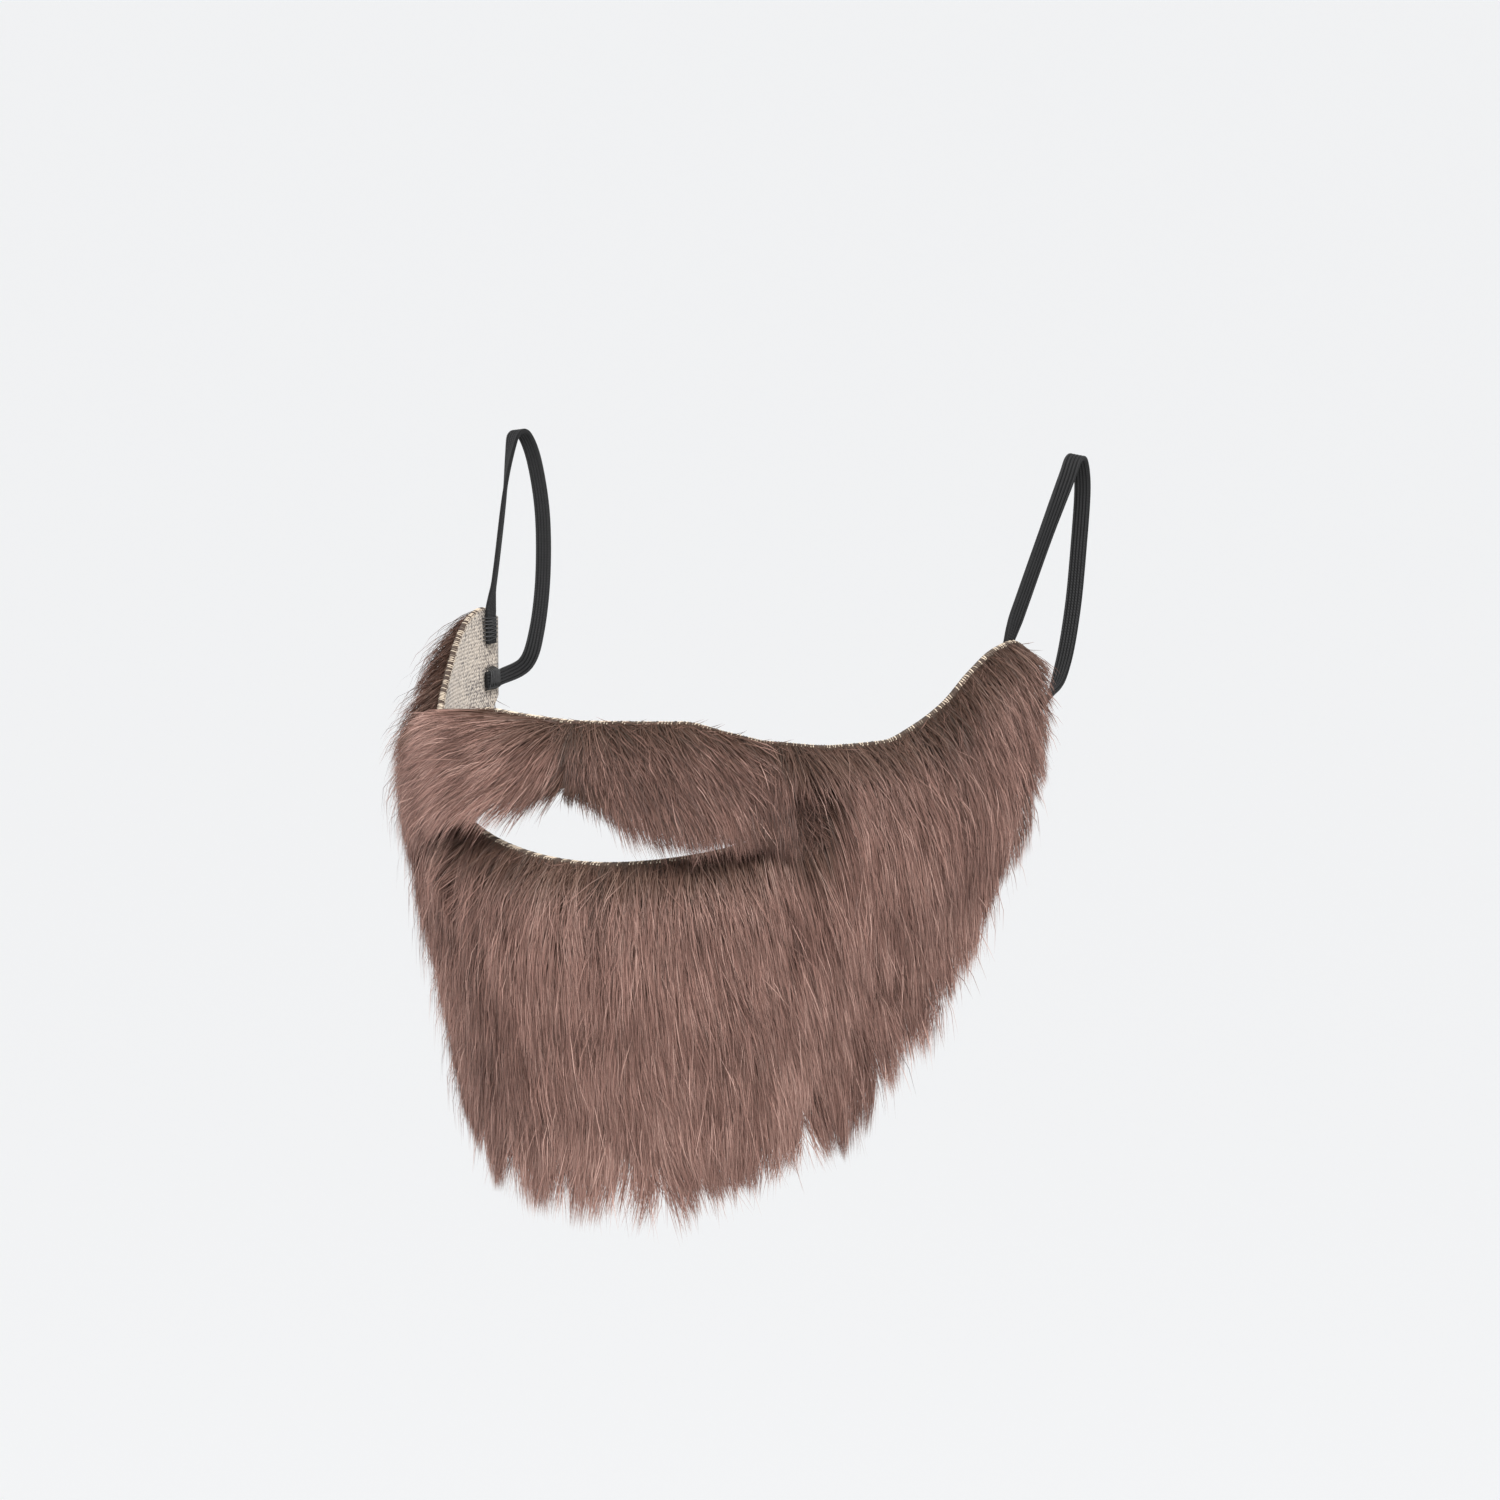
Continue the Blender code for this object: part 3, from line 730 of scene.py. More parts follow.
# %% Make the pile
SWAY = [(6.0, 0.018, 1), (3.5, 0.007, 2)]
DEPTH_RIPPLES = [(0.06, 0.012, 3), (0.08, 0.030, 5)]
DEPTH_STREAKS = [(0.07, 0.0036, 9)]
LENGTH_RIPPLES = [(0.07, 0.010, 4)]
ALONG_HAIR = np.array([1.0, 1.0, 0.35])
FINE_STREAKS = np.array([1.0, 1.0, 0.12])
CLEFT_CALM = 0.45
CLEFT_CALM_REACH = 0.12
LEAN_IN_MOUSTACHE = 9.0
LEAN_IN_BEARD = 7.0
FRIZZ_REACH = 0.0075
FRIZZ_LEAN = 1.3
STRAY_SHARE = 0.06
STRAY_LEAN = 16.0
STRAY_LIFT = (1.05, 1.45)
FREE_ABOVE_HEM = 0.004
FREE_RUN = 0.018
FULL_LENGTH = 0.0245
WAVE = 0.00036
WAVE_TURNS = (0.5, 1.3)
WAVE_SIZES = (0.2, 1.6)
WAVE_POWER = 0.6


def wave(points, normals, dice):
    """Bends each hair a little from side to side, so that neighbours cross."""
    count = len(points)
    sideways = unit(np.cross(np.gradient(points, axis=1), normals))
    phase = dice.uniform(0, 2 * np.pi, (count, 1))
    turns = dice.uniform(*WAVE_TURNS, (count, 1))
    swing = np.sin(phase + 2 * np.pi * turns * LONG_STEPS) - np.sin(phase)
    size = WAVE * dice.uniform(*WAVE_SIZES, (count, 1)) * LONG_STEPS**WAVE_POWER
    return points + sideways * (swing * size)[..., None]


def pile(roots, moustache, bunches, seed):
    """The hairs on some roots: points, normals, shade, and the share of a full hair's length."""
    dice = np.random.default_rng(seed)
    angle, height = roots
    count, station, at_root = len(angle), station_of(angle), face_surface(angle, height)
    from_cleft = np.abs(np.abs(station) - (MOUSTACHE_END + CLEFT_END) / 2)
    calm = np.where(from_cleft < CLEFT_CALM_REACH, CLEFT_CALM, 1.0)
    sway = uneven(at_root, SWAY, seed) * calm
    length, depth = hair_sizes(station, height, moustache, dice)
    depth = depth * (1 + uneven(at_root * ALONG_HAIR, DEPTH_RIPPLES, seed))
    depth = depth * (1 + uneven(at_root * FINE_STREAKS, DEPTH_STREAKS))
    length = length * (1 + uneven(at_root * ALONG_HAIR, LENGTH_RIPPLES, seed))
    stray = dice.uniform(0, 1, count) < STRAY_SHARE
    frizz = 1 - np.clip(edge_distance(station, height) / FRIZZ_REACH, 0, 1)
    lean_by = dice.normal(0, LEAN_IN_MOUSTACHE if moustache else LEAN_IN_BEARD, count)
    lean_by = lean_by * (1 + FRIZZ_LEAN * frizz)
    lean_by = sway + calm * (lean_by + np.where(stray, dice.normal(0, STRAY_LEAN, count), 0))
    depth = depth * np.where(stray, dice.uniform(*STRAY_LIFT, count), 1.0)
    if moustache:
        length = trim(angle, height, length, depth, lean_by, dice)
    points, normals, tip_angle, tip_height = grow(angle, height, length, depth, lean_by, moustache)
    free = hem(station_of(tip_angle)) + FREE_ABOVE_HEM - tip_height
    free = np.clip(free / FREE_RUN, 0, 1)

    def guides_of(chosen, cut, lean):
        sizes = length[chosen] * cut, depth[chosen]
        return grow(angle[chosen], height[chosen], *sizes, sway[chosen] + lean, moustache)[0]

    points, shade = bunch(points, at_root, guides_of, free, stray, frizz, bunches, dice)
    points = wave(part_locks(points), normals, dice)
    return points, normals, shade, np.minimum(length / FULL_LENGTH, 1)


beard_hairs = pile(beard_roots, False, BEARD_BUNCHES, 100)
left_hairs = pile(left_roots, True, MOUSTACHE_BUNCHES, 200)
right_hairs = pile(right_roots, True, MOUSTACHE_BUNCHES, 210)
print("lowest tip:", round(float(beard_hairs[0][..., 2].min()), 4), "m")

# %% [markdown]
# ## The short hair by the edges
#
# Where the pile has been cut, along the top edge, round the mouth and in the cleft, its short and
# frizzy lower hair can be seen. It lies at all angles and is darker than the rest.

# %% Grow the short hair
UNDER_LENGTH = (0.0030, 0.0075)
UNDER_DEPTH = (0.0010, 0.0036)
UNDER_LEAN = 32.0
UNDER_STEEPEST = 150.0
UNDER_REACH_ON_MAP = 0.50
HEM_LENGTHENING = 2.2
LIP_BAND = 0.0009
LIP_LENGTH = 0.0038
LIP_LEAN = 120


def short_hair(roots, seed):
    dice = np.random.default_rng(seed)
    angle, height = roots
    count, station = len(angle), station_of(angle)
    length, depth = dice.uniform(*UNDER_LENGTH, count), dice.uniform(*UNDER_DEPTH, count)
    length = np.where(near_hem(station, height), length * HEM_LENGTHENING, length)
    at_edge = (edge_distance(station, height) < LIP_BAND) & in_moustache(station, height)
    at_lip = dice.uniform(-LIP_LEAN, LIP_LEAN, count)
    wild = np.where(at_edge, at_lip, dice.normal(0, UNDER_LEAN, count))
    length = np.where(at_edge, np.minimum(length, LIP_LENGTH), length)
    grown = grow(angle, height, length, depth, wild, False, SHORT_STEPS, UNDER_STEEPEST)
    return grown[0], grown[1], np.zeros(count), np.full(count, UNDER_REACH_ON_MAP)


under_hairs = short_hair(under_roots, 400)

# %% [markdown]
# ## From lines to ribbons
#
# A hair as a round tube takes many faces. A flat ribbon takes two to a step, tapers to a point and
# catches light in the same way from a little distance, as long as each one is turned by its own
# random angle. Its colour depends on two things only, how dark the hair is and how far along it a
# point lies, so they become the two coordinates of the ribbon's map.

# %% Turn hairs into ribbons
HAIR_WIDTH = 0.00015
HAIR_WIDTHS = (0.7, 1.25)
HAIR_TURN = 0.9
TAPER_AT = [0.0, 0.15, 0.6, 1.0]
TAPER_TO = [0.85, 1.0, 0.95, 0.5]
MAP_STRIPE = 0.004
MAP_MARGIN = 0.01
MAP_LENGTH = 0.98


def mesh_object(name, points, faces, places=None, map_name="OFBake"):
    """An object from arrays. Each array of faces has one number of corners. places is its map."""
    mesh = bpy.data.meshes.new(name)
    sizes = np.concatenate([np.full(len(f), f.shape[1]) for f in faces])
    corners = np.concatenate([f.ravel() for f in faces])
    starts = np.concatenate([[0], np.cumsum(sizes)[:-1]])
    mesh.vertices.add(len(points))
    mesh.vertices.foreach_set("co", np.asarray(points, np.float32).ravel())
    mesh.loops.add(len(corners))
    mesh.loops.foreach_set("vertex_index", corners.astype(np.int32))
    mesh.polygons.add(len(sizes))
    mesh.polygons.foreach_set("loop_start", starts.astype(np.int32))
    mesh.update(calc_edges=True)
    mesh.shade_smooth()
    if places is not None:
        layer = mesh.uv_layers.new(name=map_name)
        layer.data.foreach_set("uv", places[corners].astype(np.float32).ravel())
    made = bpy.data.objects.new(name, mesh)
    bpy.context.scene.collection.objects.link(made)
    return made


def ribbons(name, points, normals, tint, reach, steps, dice):
    count = len(points)
    tangent = unit(np.gradient(points, axis=1))
    turn = dice.uniform(-HAIR_TURN, HAIR_TURN, count)[:, None, None]
    sideways = unit(np.cross(tangent, normals))
    facing = unit(np.cross(sideways, tangent))
    sideways = sideways * np.cos(turn) + facing * np.sin(turn)
    taper = np.interp(steps[:-1], TAPER_AT, TAPER_TO)[None, :, None]
    half = HAIR_WIDTH / 2 * dice.uniform(*HAIR_WIDTHS, (count, 1, 1)) * taper
    left = points[:, :-1] - sideways[:, :-1] * half
    right = points[:, :-1] + sideways[:, :-1] * half
    body = np.stack([left, right], axis=2).reshape(count, -1, 3)
    corners = np.concatenate([body, points[:, -1:]], axis=1)
    per_hair = corners.shape[1]
    start = np.arange(count)[:, None] * per_hair
    spans = range(len(steps) - 2)
    quads = [start + np.array([2 * k, 2 * k + 1, 2 * k + 3, 2 * k + 2]) for k in spans]
    tips = start + np.array([per_hair - 3, per_hair - 2, per_hair - 1])
    tone = np.clip(tint, 0.0, 1.0 - MAP_STRIPE)[:, None]
    mapped = np.zeros((count, per_hair, 2))
    mapped[:, :-1, 0] = tone + np.tile([0.0, MAP_STRIPE], len(steps) - 1)
    mapped[:, -1, 0] = tone[:, 0] + MAP_STRIPE / 2
    mapped[:, :-1, 1] = np.repeat(steps[:-1], 2) * reach[:, None]
    mapped[:, -1, 1] = reach
    mapped[..., 1] = mapped[..., 1] * MAP_LENGTH + MAP_MARGIN
    faces = [np.concatenate(quads), tips]
    return mesh_object(name, corners.reshape(-1, 3), faces, mapped.reshape(-1, 2))


# %% [markdown]
# ## The colour of the pile
#
# The pile is a mauve brown that is darker and greyer at its roots and paler at its tips. The map's
# first coordinate picks the tone of the hair and the second the place along it.

# %% Dye the pile
ROOT_TONES = [
    (0.0, (0.040, 0.025, 0.017)),
    (0.5, (0.083, 0.043, 0.029)),
    (1.0, (0.150, 0.093, 0.068)),
]
TIP_TONES = [
    (0.0, (0.066, 0.037, 0.029)),
    (0.3, (0.152, 0.079, 0.062)),
    (0.6, (0.288, 0.158, 0.127)),
    (1.0, (0.510, 0.325, 0.272)),
]
ROOT_TO_TIP = [(0.0, 0.0), (0.14, 0.12), (0.42, 0.80), (0.80, 1.0), (1.0, 0.84)]

fur = Finish("brown_pile")
tone, along = fur.map_places("OFBake")
root_colour = fur.node("ShaderNodeValToRGB", {"stops": ROOT_TONES}, {0: tone})
tip_colour = fur.node("ShaderNodeValToRGB", {"stops": TIP_TONES}, {0: tone})
greys = [(place, (grey, grey, grey)) for place, grey in ROOT_TO_TIP]
towards_tip = fur.node("ShaderNodeValToRGB", {"stops": greys}, {0: along})
FUR = fur.surface(
    Base_Color=fur.mix(towards_tip, root_colour, tip_colour),
    Roughness=0.55,
    Specular_IOR_Level=0.25,
)

# %% [markdown]
# ## The pieces of pile
#
# One mesh with every hair would be too heavy to handle, so the beard's hairs are parted by station
# into six pieces, and the moustache's by side. The short hair is a piece of its own. The colour is
# uneven: the dye takes in patches and streaks, a hair here and there is pale, and the pile is paler
# low down and by the ears. Painted shade makes the left half of the moustache much darker than its
# right half and darkens it by the parting, and a painted highlight makes the bulge on the right
# paler.

# %% Place the pile
BEARD_PARTS = [
    ("beard_pile_right", -2.1, -1.36),
    ("beard_pile_jaw_right", -1.36, -0.80),
    ("beard_pile_chin_right", -0.80, 0.0),
    ("beard_pile_chin_left", 0.0, 0.80),
    ("beard_pile_jaw_left", 0.80, 1.36),
    ("beard_pile_left", 1.36, 2.1),
]
BEARD_TONE = 0.475
# The left moustache's tone holds painted shade: it is much darker than the right half's.
LEFT_MOUSTACHE_SHADED_TONE = 0.24
RIGHT_MOUSTACHE_TONE = 0.52
SHORT_TONE = 0.29
TONE_BY_LOCK = 0.070
TONE_BY_HAIR = 0.17
PALE_SHARE = 0.13
PALER_BY = (0.15, 0.45)
DYE_PATCHES = [(0.09, 0.022, 7), (0.06, 0.009, 8)]
DYE_STREAKS = [(0.08, 0.0036, 9)]
LOW_TINT, LOW_FROM, LOW_RUN = 0.06, 0.040, 0.045
EAR_TINT, EAR_FROM, EAR_RUN = 0.06, 1.5, 0.3
# The bulge tint is a painted highlight: the hair on the bulge at the right of the moustache is paler.
BULGE_PAINTED_HIGHLIGHT, BULGE_AT, BULGE_RUN = 0.09, -0.65, 0.25
# The parting tint is painted shade: the hair by the moustache's parting is darker.
PARTING_PAINTED_SHADE, PARTING_RUN = 0.13, 0.18


def dye_and_painted_light(roots):
    """How much paler or darker the hair is by place, with painted shade and a highlight on the lip.
    """
    shift = uneven(roots * ALONG_HAIR, DYE_PATCHES) + uneven(roots * FINE_STREAKS, DYE_STREAKS)
    shift += LOW_TINT * np.clip((-roots[:, 2] - LOW_FROM) / LOW_RUN, 0, 1)
    station = station_of(np.degrees(np.arctan2(roots[:, 0], FACE_DEPTH - roots[:, 1])))
    shift += EAR_TINT * np.clip((np.abs(station) - EAR_FROM) / EAR_RUN, 0, 1)
    # painted shade by the moustache's parting
    parting = 1 - np.clip(np.abs(station) / PARTING_RUN, 0, 1)
    # painted highlight on the bulge at the right of the moustache
    bulge = np.exp(-((station - BULGE_AT) / BULGE_RUN) ** 2)
    on_lip = roots[:, 2] > -MOUTH_BOTTOM
    return shift + on_lip * (BULGE_PAINTED_HIGHLIGHT * bulge - PARTING_PAINTED_SHADE * parting)


def add_pile(name, hairs, chosen, base_tone, seed, *nodes, steps=LONG_STEPS):
    points, normals, shade, reach = (part[chosen] for part in hairs)
    dice = np.random.default_rng(seed)
    tint = base_tone + TONE_BY_LOCK * shade + dice.normal(0, TONE_BY_HAIR, len(shade))
    pale = dice.uniform(0, 1, len(shade)) < PALE_SHARE
    tint += np.where(pale, dice.uniform(*PALER_BY, len(shade)), 0)
    tint += dye_and_painted_light(points[:, 0])
    piece = ribbons(name, points, normals, tint, reach, steps, dice)
    dress(piece, FUR, "fur", *nodes)
    triangles = sum(len(face.vertices) - 2 for face in piece.data.polygons)
    print(name, len(points), "hairs,", triangles, "triangles")
    return piece


pile_pieces = []
stations = station_of(beard_roots[0])
for number, (name, start, stop) in enumerate(BEARD_PARTS):
    part = (stations >= start) & (stations < stop)
    pile_pieces.append(add_pile(name, beard_hairs, part, BEARD_TONE, 300 + number, "beard_fur"))
every = slice(None)
pile_pieces += [
    add_pile("moustache_pile_left", left_hairs, every, LEFT_MOUSTACHE_SHADED_TONE, 310,
             "moustache_fur_left"),
    add_pile("moustache_pile_right", right_hairs, every, RIGHT_MOUSTACHE_TONE, 311,
             "moustache_fur_right"),
    add_pile("short_pile", under_hairs, every, SHORT_TONE, 312, steps=SHORT_STEPS),
]

# %% [markdown]
# ## The knit cloth
#
# The backing is a plain knit. It is laid out as a grid of stations and rows on both faces of the
# cloth, so it fits its solid and stays smooth when seen from inside. The grid's flat coordinates, in
# metres, drive the knit's columns of small V-shaped stitches.

# %% Lay out the cloth
CHEEK_COLUMNS = 60
MOUTH_COLUMNS = 64
ROWS_ABOVE = 12
ROWS_BELOW = 26
SPLIT_BY_EAR = 0.3
FLAT_RADIUS = FACE_WIDTH * 0.53
FLAT_GAP = 0.4


def cloth_columns(station, rows, lower_part):
    """Heights down one part of each column, above or below the mouth's line."""
    past_right = (MOUTH_ENDS[0] - station) / (MOUTH_ENDS[0] + 2)
    past_left = (station - MOUTH_ENDS[1]) / (2 - MOUTH_ENDS[1])
    outward = np.clip(np.maximum(past_right, past_left), 0, 1)
    beside_ear = top_edge(station) + (hem(station) - top_edge(station)) * SPLIT_BY_EAR
    level = -MOUTH_CORNER + (beside_ear + MOUTH_CORNER) * eased(outward)
    inside = mouth_share(station) < 1 - 1e-9
    upper = np.where(inside, mouth_upper(station), level)
    lower = np.where(inside, mouth_lower(station), level)
    share = np.linspace(0, 1, rows + 1)
    first, last = (lower, hem(station)) if lower_part else (top_edge(station), upper)
    return first[:, None] + (last - first)[:, None] * share


def cloth_part(lower_part):
    """Grid of one part: stations, heights and both faces' points."""
    station = np.concatenate([
        np.linspace(-2, MOUTH_ENDS[0], CHEEK_COLUMNS, endpoint=False),
        np.linspace(*MOUTH_ENDS, MOUTH_COLUMNS, endpoint=False),
        np.linspace(MOUTH_ENDS[1], 2, CHEEK_COLUMNS + 1),
    ])
    heights = cloth_columns(station, ROWS_BELOW if lower_part else ROWS_ABOVE, lower_part)
    angle = np.repeat(angle_of(station)[:, None], heights.shape[1], axis=1)
    point, normal, _, _ = face_frame(angle, heights)
    return station, heights, point, normal


def grid_faces(columns, rows, first, flip):
    index = first + np.arange(columns * rows).reshape(columns, rows)
    quads = np.stack([index[:-1, :-1], index[1:, :-1], index[1:, 1:], index[:-1, 1:]], axis=-1)
    return quads.reshape(-1, 4)[:, ::-1] if flip else quads.reshape(-1, 4)


def build_cloth():
    """Points, flat coordinates, faces, and for each face whether the pile grows on it."""
    points, flat, faces, furry, first = [], [], [], [], 0
    for lower_part in (False, True):
        station, heights, point, normal = cloth_part(lower_part)
        columns, rows = heights.shape
        across = np.radians(angle_of(station))[:, None] * FLAT_RADIUS + 0 * heights
        for face, lift in ((0, 0.0), (1, CLOTH_THICKNESS)):
            points.append((point + normal * lift).reshape(-1, 3))
            flat.append(np.stack([across + face * FLAT_GAP, heights], axis=-1).reshape(-1, 2))
            faces.append(grid_faces(columns, rows, first + face * columns * rows, face == 0))
            furry.append(np.full(len(faces[-1]), face))
        inner = first + np.arange(columns * rows).reshape(columns, rows)
        outer = inner + columns * rows
        hole = slice(CHEEK_COLUMNS, CHEEK_COLUMNS + MOUTH_COLUMNS + 1)
        top, bottom = (hole, slice(None)) if lower_part else (slice(None), hole)
        for rim in ((inner[top, 0], outer[top, 0]), (outer[bottom, -1], inner[bottom, -1]),
                    (outer[0], inner[0]), (inner[-1], outer[-1])):
            faces.append(np.stack([rim[0][:-1], rim[1][:-1], rim[1][1:], rim[0][1:]], axis=-1))
            furry.append(np.ones(len(faces[-1]), int))
        first += 2 * columns * rows
    return np.concatenate(points), np.concatenate(flat), faces, np.concatenate(furry)


cloth_points, cloth_flat, cloth_faces, cloth_furry = build_cloth()
cloth = mesh_object("knit_cloth", cloth_points, cloth_faces, cloth_flat, "flat")
cloth.data.polygons.foreach_set("material_index", cloth_furry.astype(np.int32))
print("knit_cloth has", len(cloth.data.polygons), "faces")

# %% [markdown]
# The part above the mouth's line and the part below it share their edge beside the mouth. Merging
# the points that lie in one place joins them into one closed sheet with one hole.

# %% Close the cloth
sheet = bmesh.new()
sheet.from_mesh(cloth.data)
bmesh.ops.remove_doubles(sheet, verts=sheet.verts, dist=1e-6)
bmesh.ops.recalc_face_normals(sheet, faces=sheet.faces)
open_edges = sum(len(e.link_faces) != 2 for e in sheet.edges)
sheet.to_mesh(cloth.data)
sheet.free()
cloth.data.shade_smooth()
print("open edges in the cloth:", open_edges)

# %% [markdown]
# A knit is seen as columns of small Vs. Slanting the rows up on both sides of each column's middle
# gives the V, and a sine across and along gives the rounded yarn. Fibres of the brown pile are
# caught in the cream yarn, so a fine noise mixes the two, and the yarn turns browner where its
# relief is low, between its rounds. Under the pile the cloth is dyed dark.

# %% Dye the knit
WALE = 0.00115
COURSE = 0.00095
STITCH_SLANT = 1.1
CREAM = [(0.50, 0.42, 0.34), (0.62, 0.54, 0.45)]
CAUGHT_FIBRE = (0.070, 0.048, 0.040)
GROUND = [(0.032, 0.020, 0.014), (0.080, 0.051, 0.037)]

knit = Finish("cream_knit")
across, up = knit.map_places("flat")
from_middle = ((across / WALE).fraction() - 0.5).size()
yarn = ((up / COURSE + from_middle * STITCH_SLANT) * (2 * math.pi)).sine() * 0.5 + 0.5
relief = yarn * (1 - (from_middle * 2) ** 3)
specks = knit.noise(1400.0, 4.0)
patches = knit.noise(90.0, 3.0)
caught = ((specks - 0.47) * 5.0 + (0.5 - relief) * 0.9 + (patches - 0.5) * 1.4).within()
KNIT = knit.surface(
    Base_Color=knit.mix(caught, knit.mix(patches, *CREAM), CAUGHT_FIBRE),
    Roughness=0.92,
    Sheen_Weight=0.25,
    Normal=knit.bump(relief + specks * 0.4, 0.6, 0.0003),
)
cloth.data.materials.append(KNIT)

ground = Finish("pile_ground")
ground_colour = ground.mix(ground.noise(1200.0, 3.0), *GROUND)
dress(cloth, ground.surface(Base_Color=ground_colour, Roughness=0.95), "knit_backing", "knit_backing")

# %% [markdown]
# ## The cut edge
#
# Along the cut, the ends of the knit's yarn show as a line of small cream loops, some of them brown.
# Each loop is a short arch of yarn from the inner face over the edge to the outer face.

# %% Trim the edge with loops
YARN_RADIUS = 0.00015
LOOP_SPACING = 0.00072
LOOP_SIDES = 4
LOOP_STEPS = 5
LOOP_REACH = (0.0002, 0.0006)
LOOP_SLANT = 0.0003
LOOP_SLANT_SPREAD = 0.0002
LOOP_PROUD = YARN_RADIUS * 0.6
LOOK_AHEAD = 0.3
CORNER_GAP = 0.01
EDGE_SAMPLES = 4000
LOOP_RADII = (0.75, 1.2)
BROWN_LOOPS = 0.44
BROWN_LOOP_TONE = 0.08
CREAM_LOOP_TONE = 0.8
LOOP_TONE_SPREAD = 0.08


def ring_sides(index):
    """Faces that join rings of points. index numbers the points, ring by ring in its last axes."""
    after = np.roll(index, -1, axis=-1)
    corners = [index[..., :-1, :], after[..., :-1, :], after[..., 1:, :], index[..., 1:, :]]
    return np.stack(corners, axis=-1).reshape(-1, 4)


def tubes(name, paths, radii, tones=None):
    """Tubes with flat ends along many paths of equal length. paths: tubes by steps by 3."""
    count, steps = paths.shape[:2]
    tangent = unit(np.gradient(paths, axis=1))
    guide = np.where(np.abs(tangent[..., 2:]) > 0.9, [[[1.0, 0, 0]]], [[[0, 0, 1.0]]])
    sideways = unit(np.cross(tangent, guide))
    other = np.cross(tangent, sideways)
    turn = np.arange(LOOP_SIDES) / LOOP_SIDES * 2 * np.pi
    ring = np.cos(turn)[:, None] * sideways[:, :, None] + np.sin(turn)[:, None] * other[:, :, None]
    points = paths[:, :, None] + ring * radii[:, None, None, None]
    base = (np.arange(count) * steps * LOOP_SIDES)[:, None, None]
    index = base + np.arange(steps * LOOP_SIDES).reshape(1, steps, LOOP_SIDES)
    sides = ring_sides(index)
    caps = np.concatenate([index[:, 0, ::-1], index[:, -1]])
    mapped = None
    if tones is not None:
        mapped = np.zeros((count, steps, LOOP_SIDES, 2))
        mapped[..., 0] = tones[:, None, None] + np.linspace(0, MAP_STRIPE, LOOP_SIDES)
        mapped[..., 1] = np.linspace(MAP_MARGIN, 1 - MAP_MARGIN, steps)[None, :, None]
        mapped = mapped.reshape(-1, 2)
    return mesh_object(name, points.reshape(-1, 3), [sides, caps], mapped)


def evenly(edge, start, stop):
    """Stations spaced by LOOP_SPACING along an edge given as heights over stations."""
    station = np.linspace(start, stop, EDGE_SAMPLES)
    line = face_surface(angle_of(station), edge(station))
    run = np.concatenate([[0], np.cumsum(np.linalg.norm(np.diff(line, axis=0), axis=1))])
    return np.interp(np.arange(0, run[-1], LOOP_SPACING), run, station)


def edge_loops(edge, start, stop, inward, dice):
    """Arches over an edge. inward is -1 where the cloth lies below the edge, and 1 above it."""
    station = evenly(edge, start, stop)
    count = len(station)
    angle, height = angle_of(station), edge(station)
    point, normal, _, _ = face_frame(angle, height)
    further = angle + LOOK_AHEAD
    ahead, _, _, _ = face_frame(further, edge(station_of(further)))
    along = unit(ahead - point)
    upward = np.cross(normal, along)
    into = unit(upward) * np.sign(upward[:, 2:]) * inward
    reach = dice.uniform(*LOOP_REACH, count)[:, None]
    slant = LOOP_SLANT + dice.uniform(-LOOP_SLANT_SPREAD, LOOP_SLANT_SPREAD, count)[:, None]
    path = []
    for turn in np.linspace(0, np.pi, LOOP_STEPS):
        out = CLOTH_THICKNESS / 2 - (CLOTH_THICKNESS / 2 + LOOP_PROUD) * math.cos(turn)
        depth = reach * (1 - math.sin(turn)) - LOOP_PROUD * math.sin(turn)
        path.append(point + normal * out + into * depth + along * slant * math.cos(turn))
    return np.stack(path, axis=1)


lip = (MOUTH_ENDS[0] + CORNER_GAP, MOUTH_ENDS[1] - CORNER_GAP)
TRIMMED_EDGES = [
    (top_edge, -1.99, 1.99, -1),
    (hem, -1.99, 1.99, 1),
    (mouth_upper, *lip, 1),
    (mouth_lower, *lip, -1),
]
dice = np.random.default_rng(31)
all_loops = np.concatenate([edge_loops(*row, dice) for row in TRIMMED_EDGES])
brown = dice.uniform(0, 1, len(all_loops)) < BROWN_LOOPS
loop_tones = np.where(brown, BROWN_LOOP_TONE, CREAM_LOOP_TONE)
loop_tones = loop_tones + dice.normal(0, LOOP_TONE_SPREAD, len(all_loops))
loop_tones = np.clip(loop_tones, 0.0, 1.0 - MAP_STRIPE)
loop_radii = YARN_RADIUS * dice.uniform(*LOOP_RADII, len(all_loops))
edge_yarn = tubes("knit_edge_loops", all_loops, loop_radii, loop_tones)

loops = Finish("cream_yarn")
loop_colour = loops.mix(loops.map_places("OFBake")[0], (0.050, 0.032, 0.024), (0.74, 0.62, 0.48))
dress(edge_yarn, loops.surface(Base_Color=loop_colour, Roughness=0.85), "knit_backing")
print(len(all_loops), "loops of yarn on the cut edge")

# %% [markdown]
# ## The ear elastics
#
# Flat braided elastic has a few lengthwise ribs over its rubber cores. Its section is a row of round
# ribs on both faces, swept along the route of its solid, which leaves the sideburn flat and turns
# to lie behind the ear.

# %% Find the route of the elastic
ELASTIC_WIDTH = 0.0042
ELASTIC_THICKNESS = 0.0011
ELASTIC_CLEARANCE = 0.0005
ELASTIC_SEWN_LENGTH = 0.009
EAR_LOOP_RISE = 0.043
EAR_LOOP_DEPTH = 0.029
EAR_LOOP_FLARE = 0.0060
TOP_ANCHOR_STATION = 1.923
LOW_ANCHOR_SHARE = 0.24
ROUTE_STEPS = 9
THREAD_PITCH = 0.0007
THREAD_SLANT = 60.0

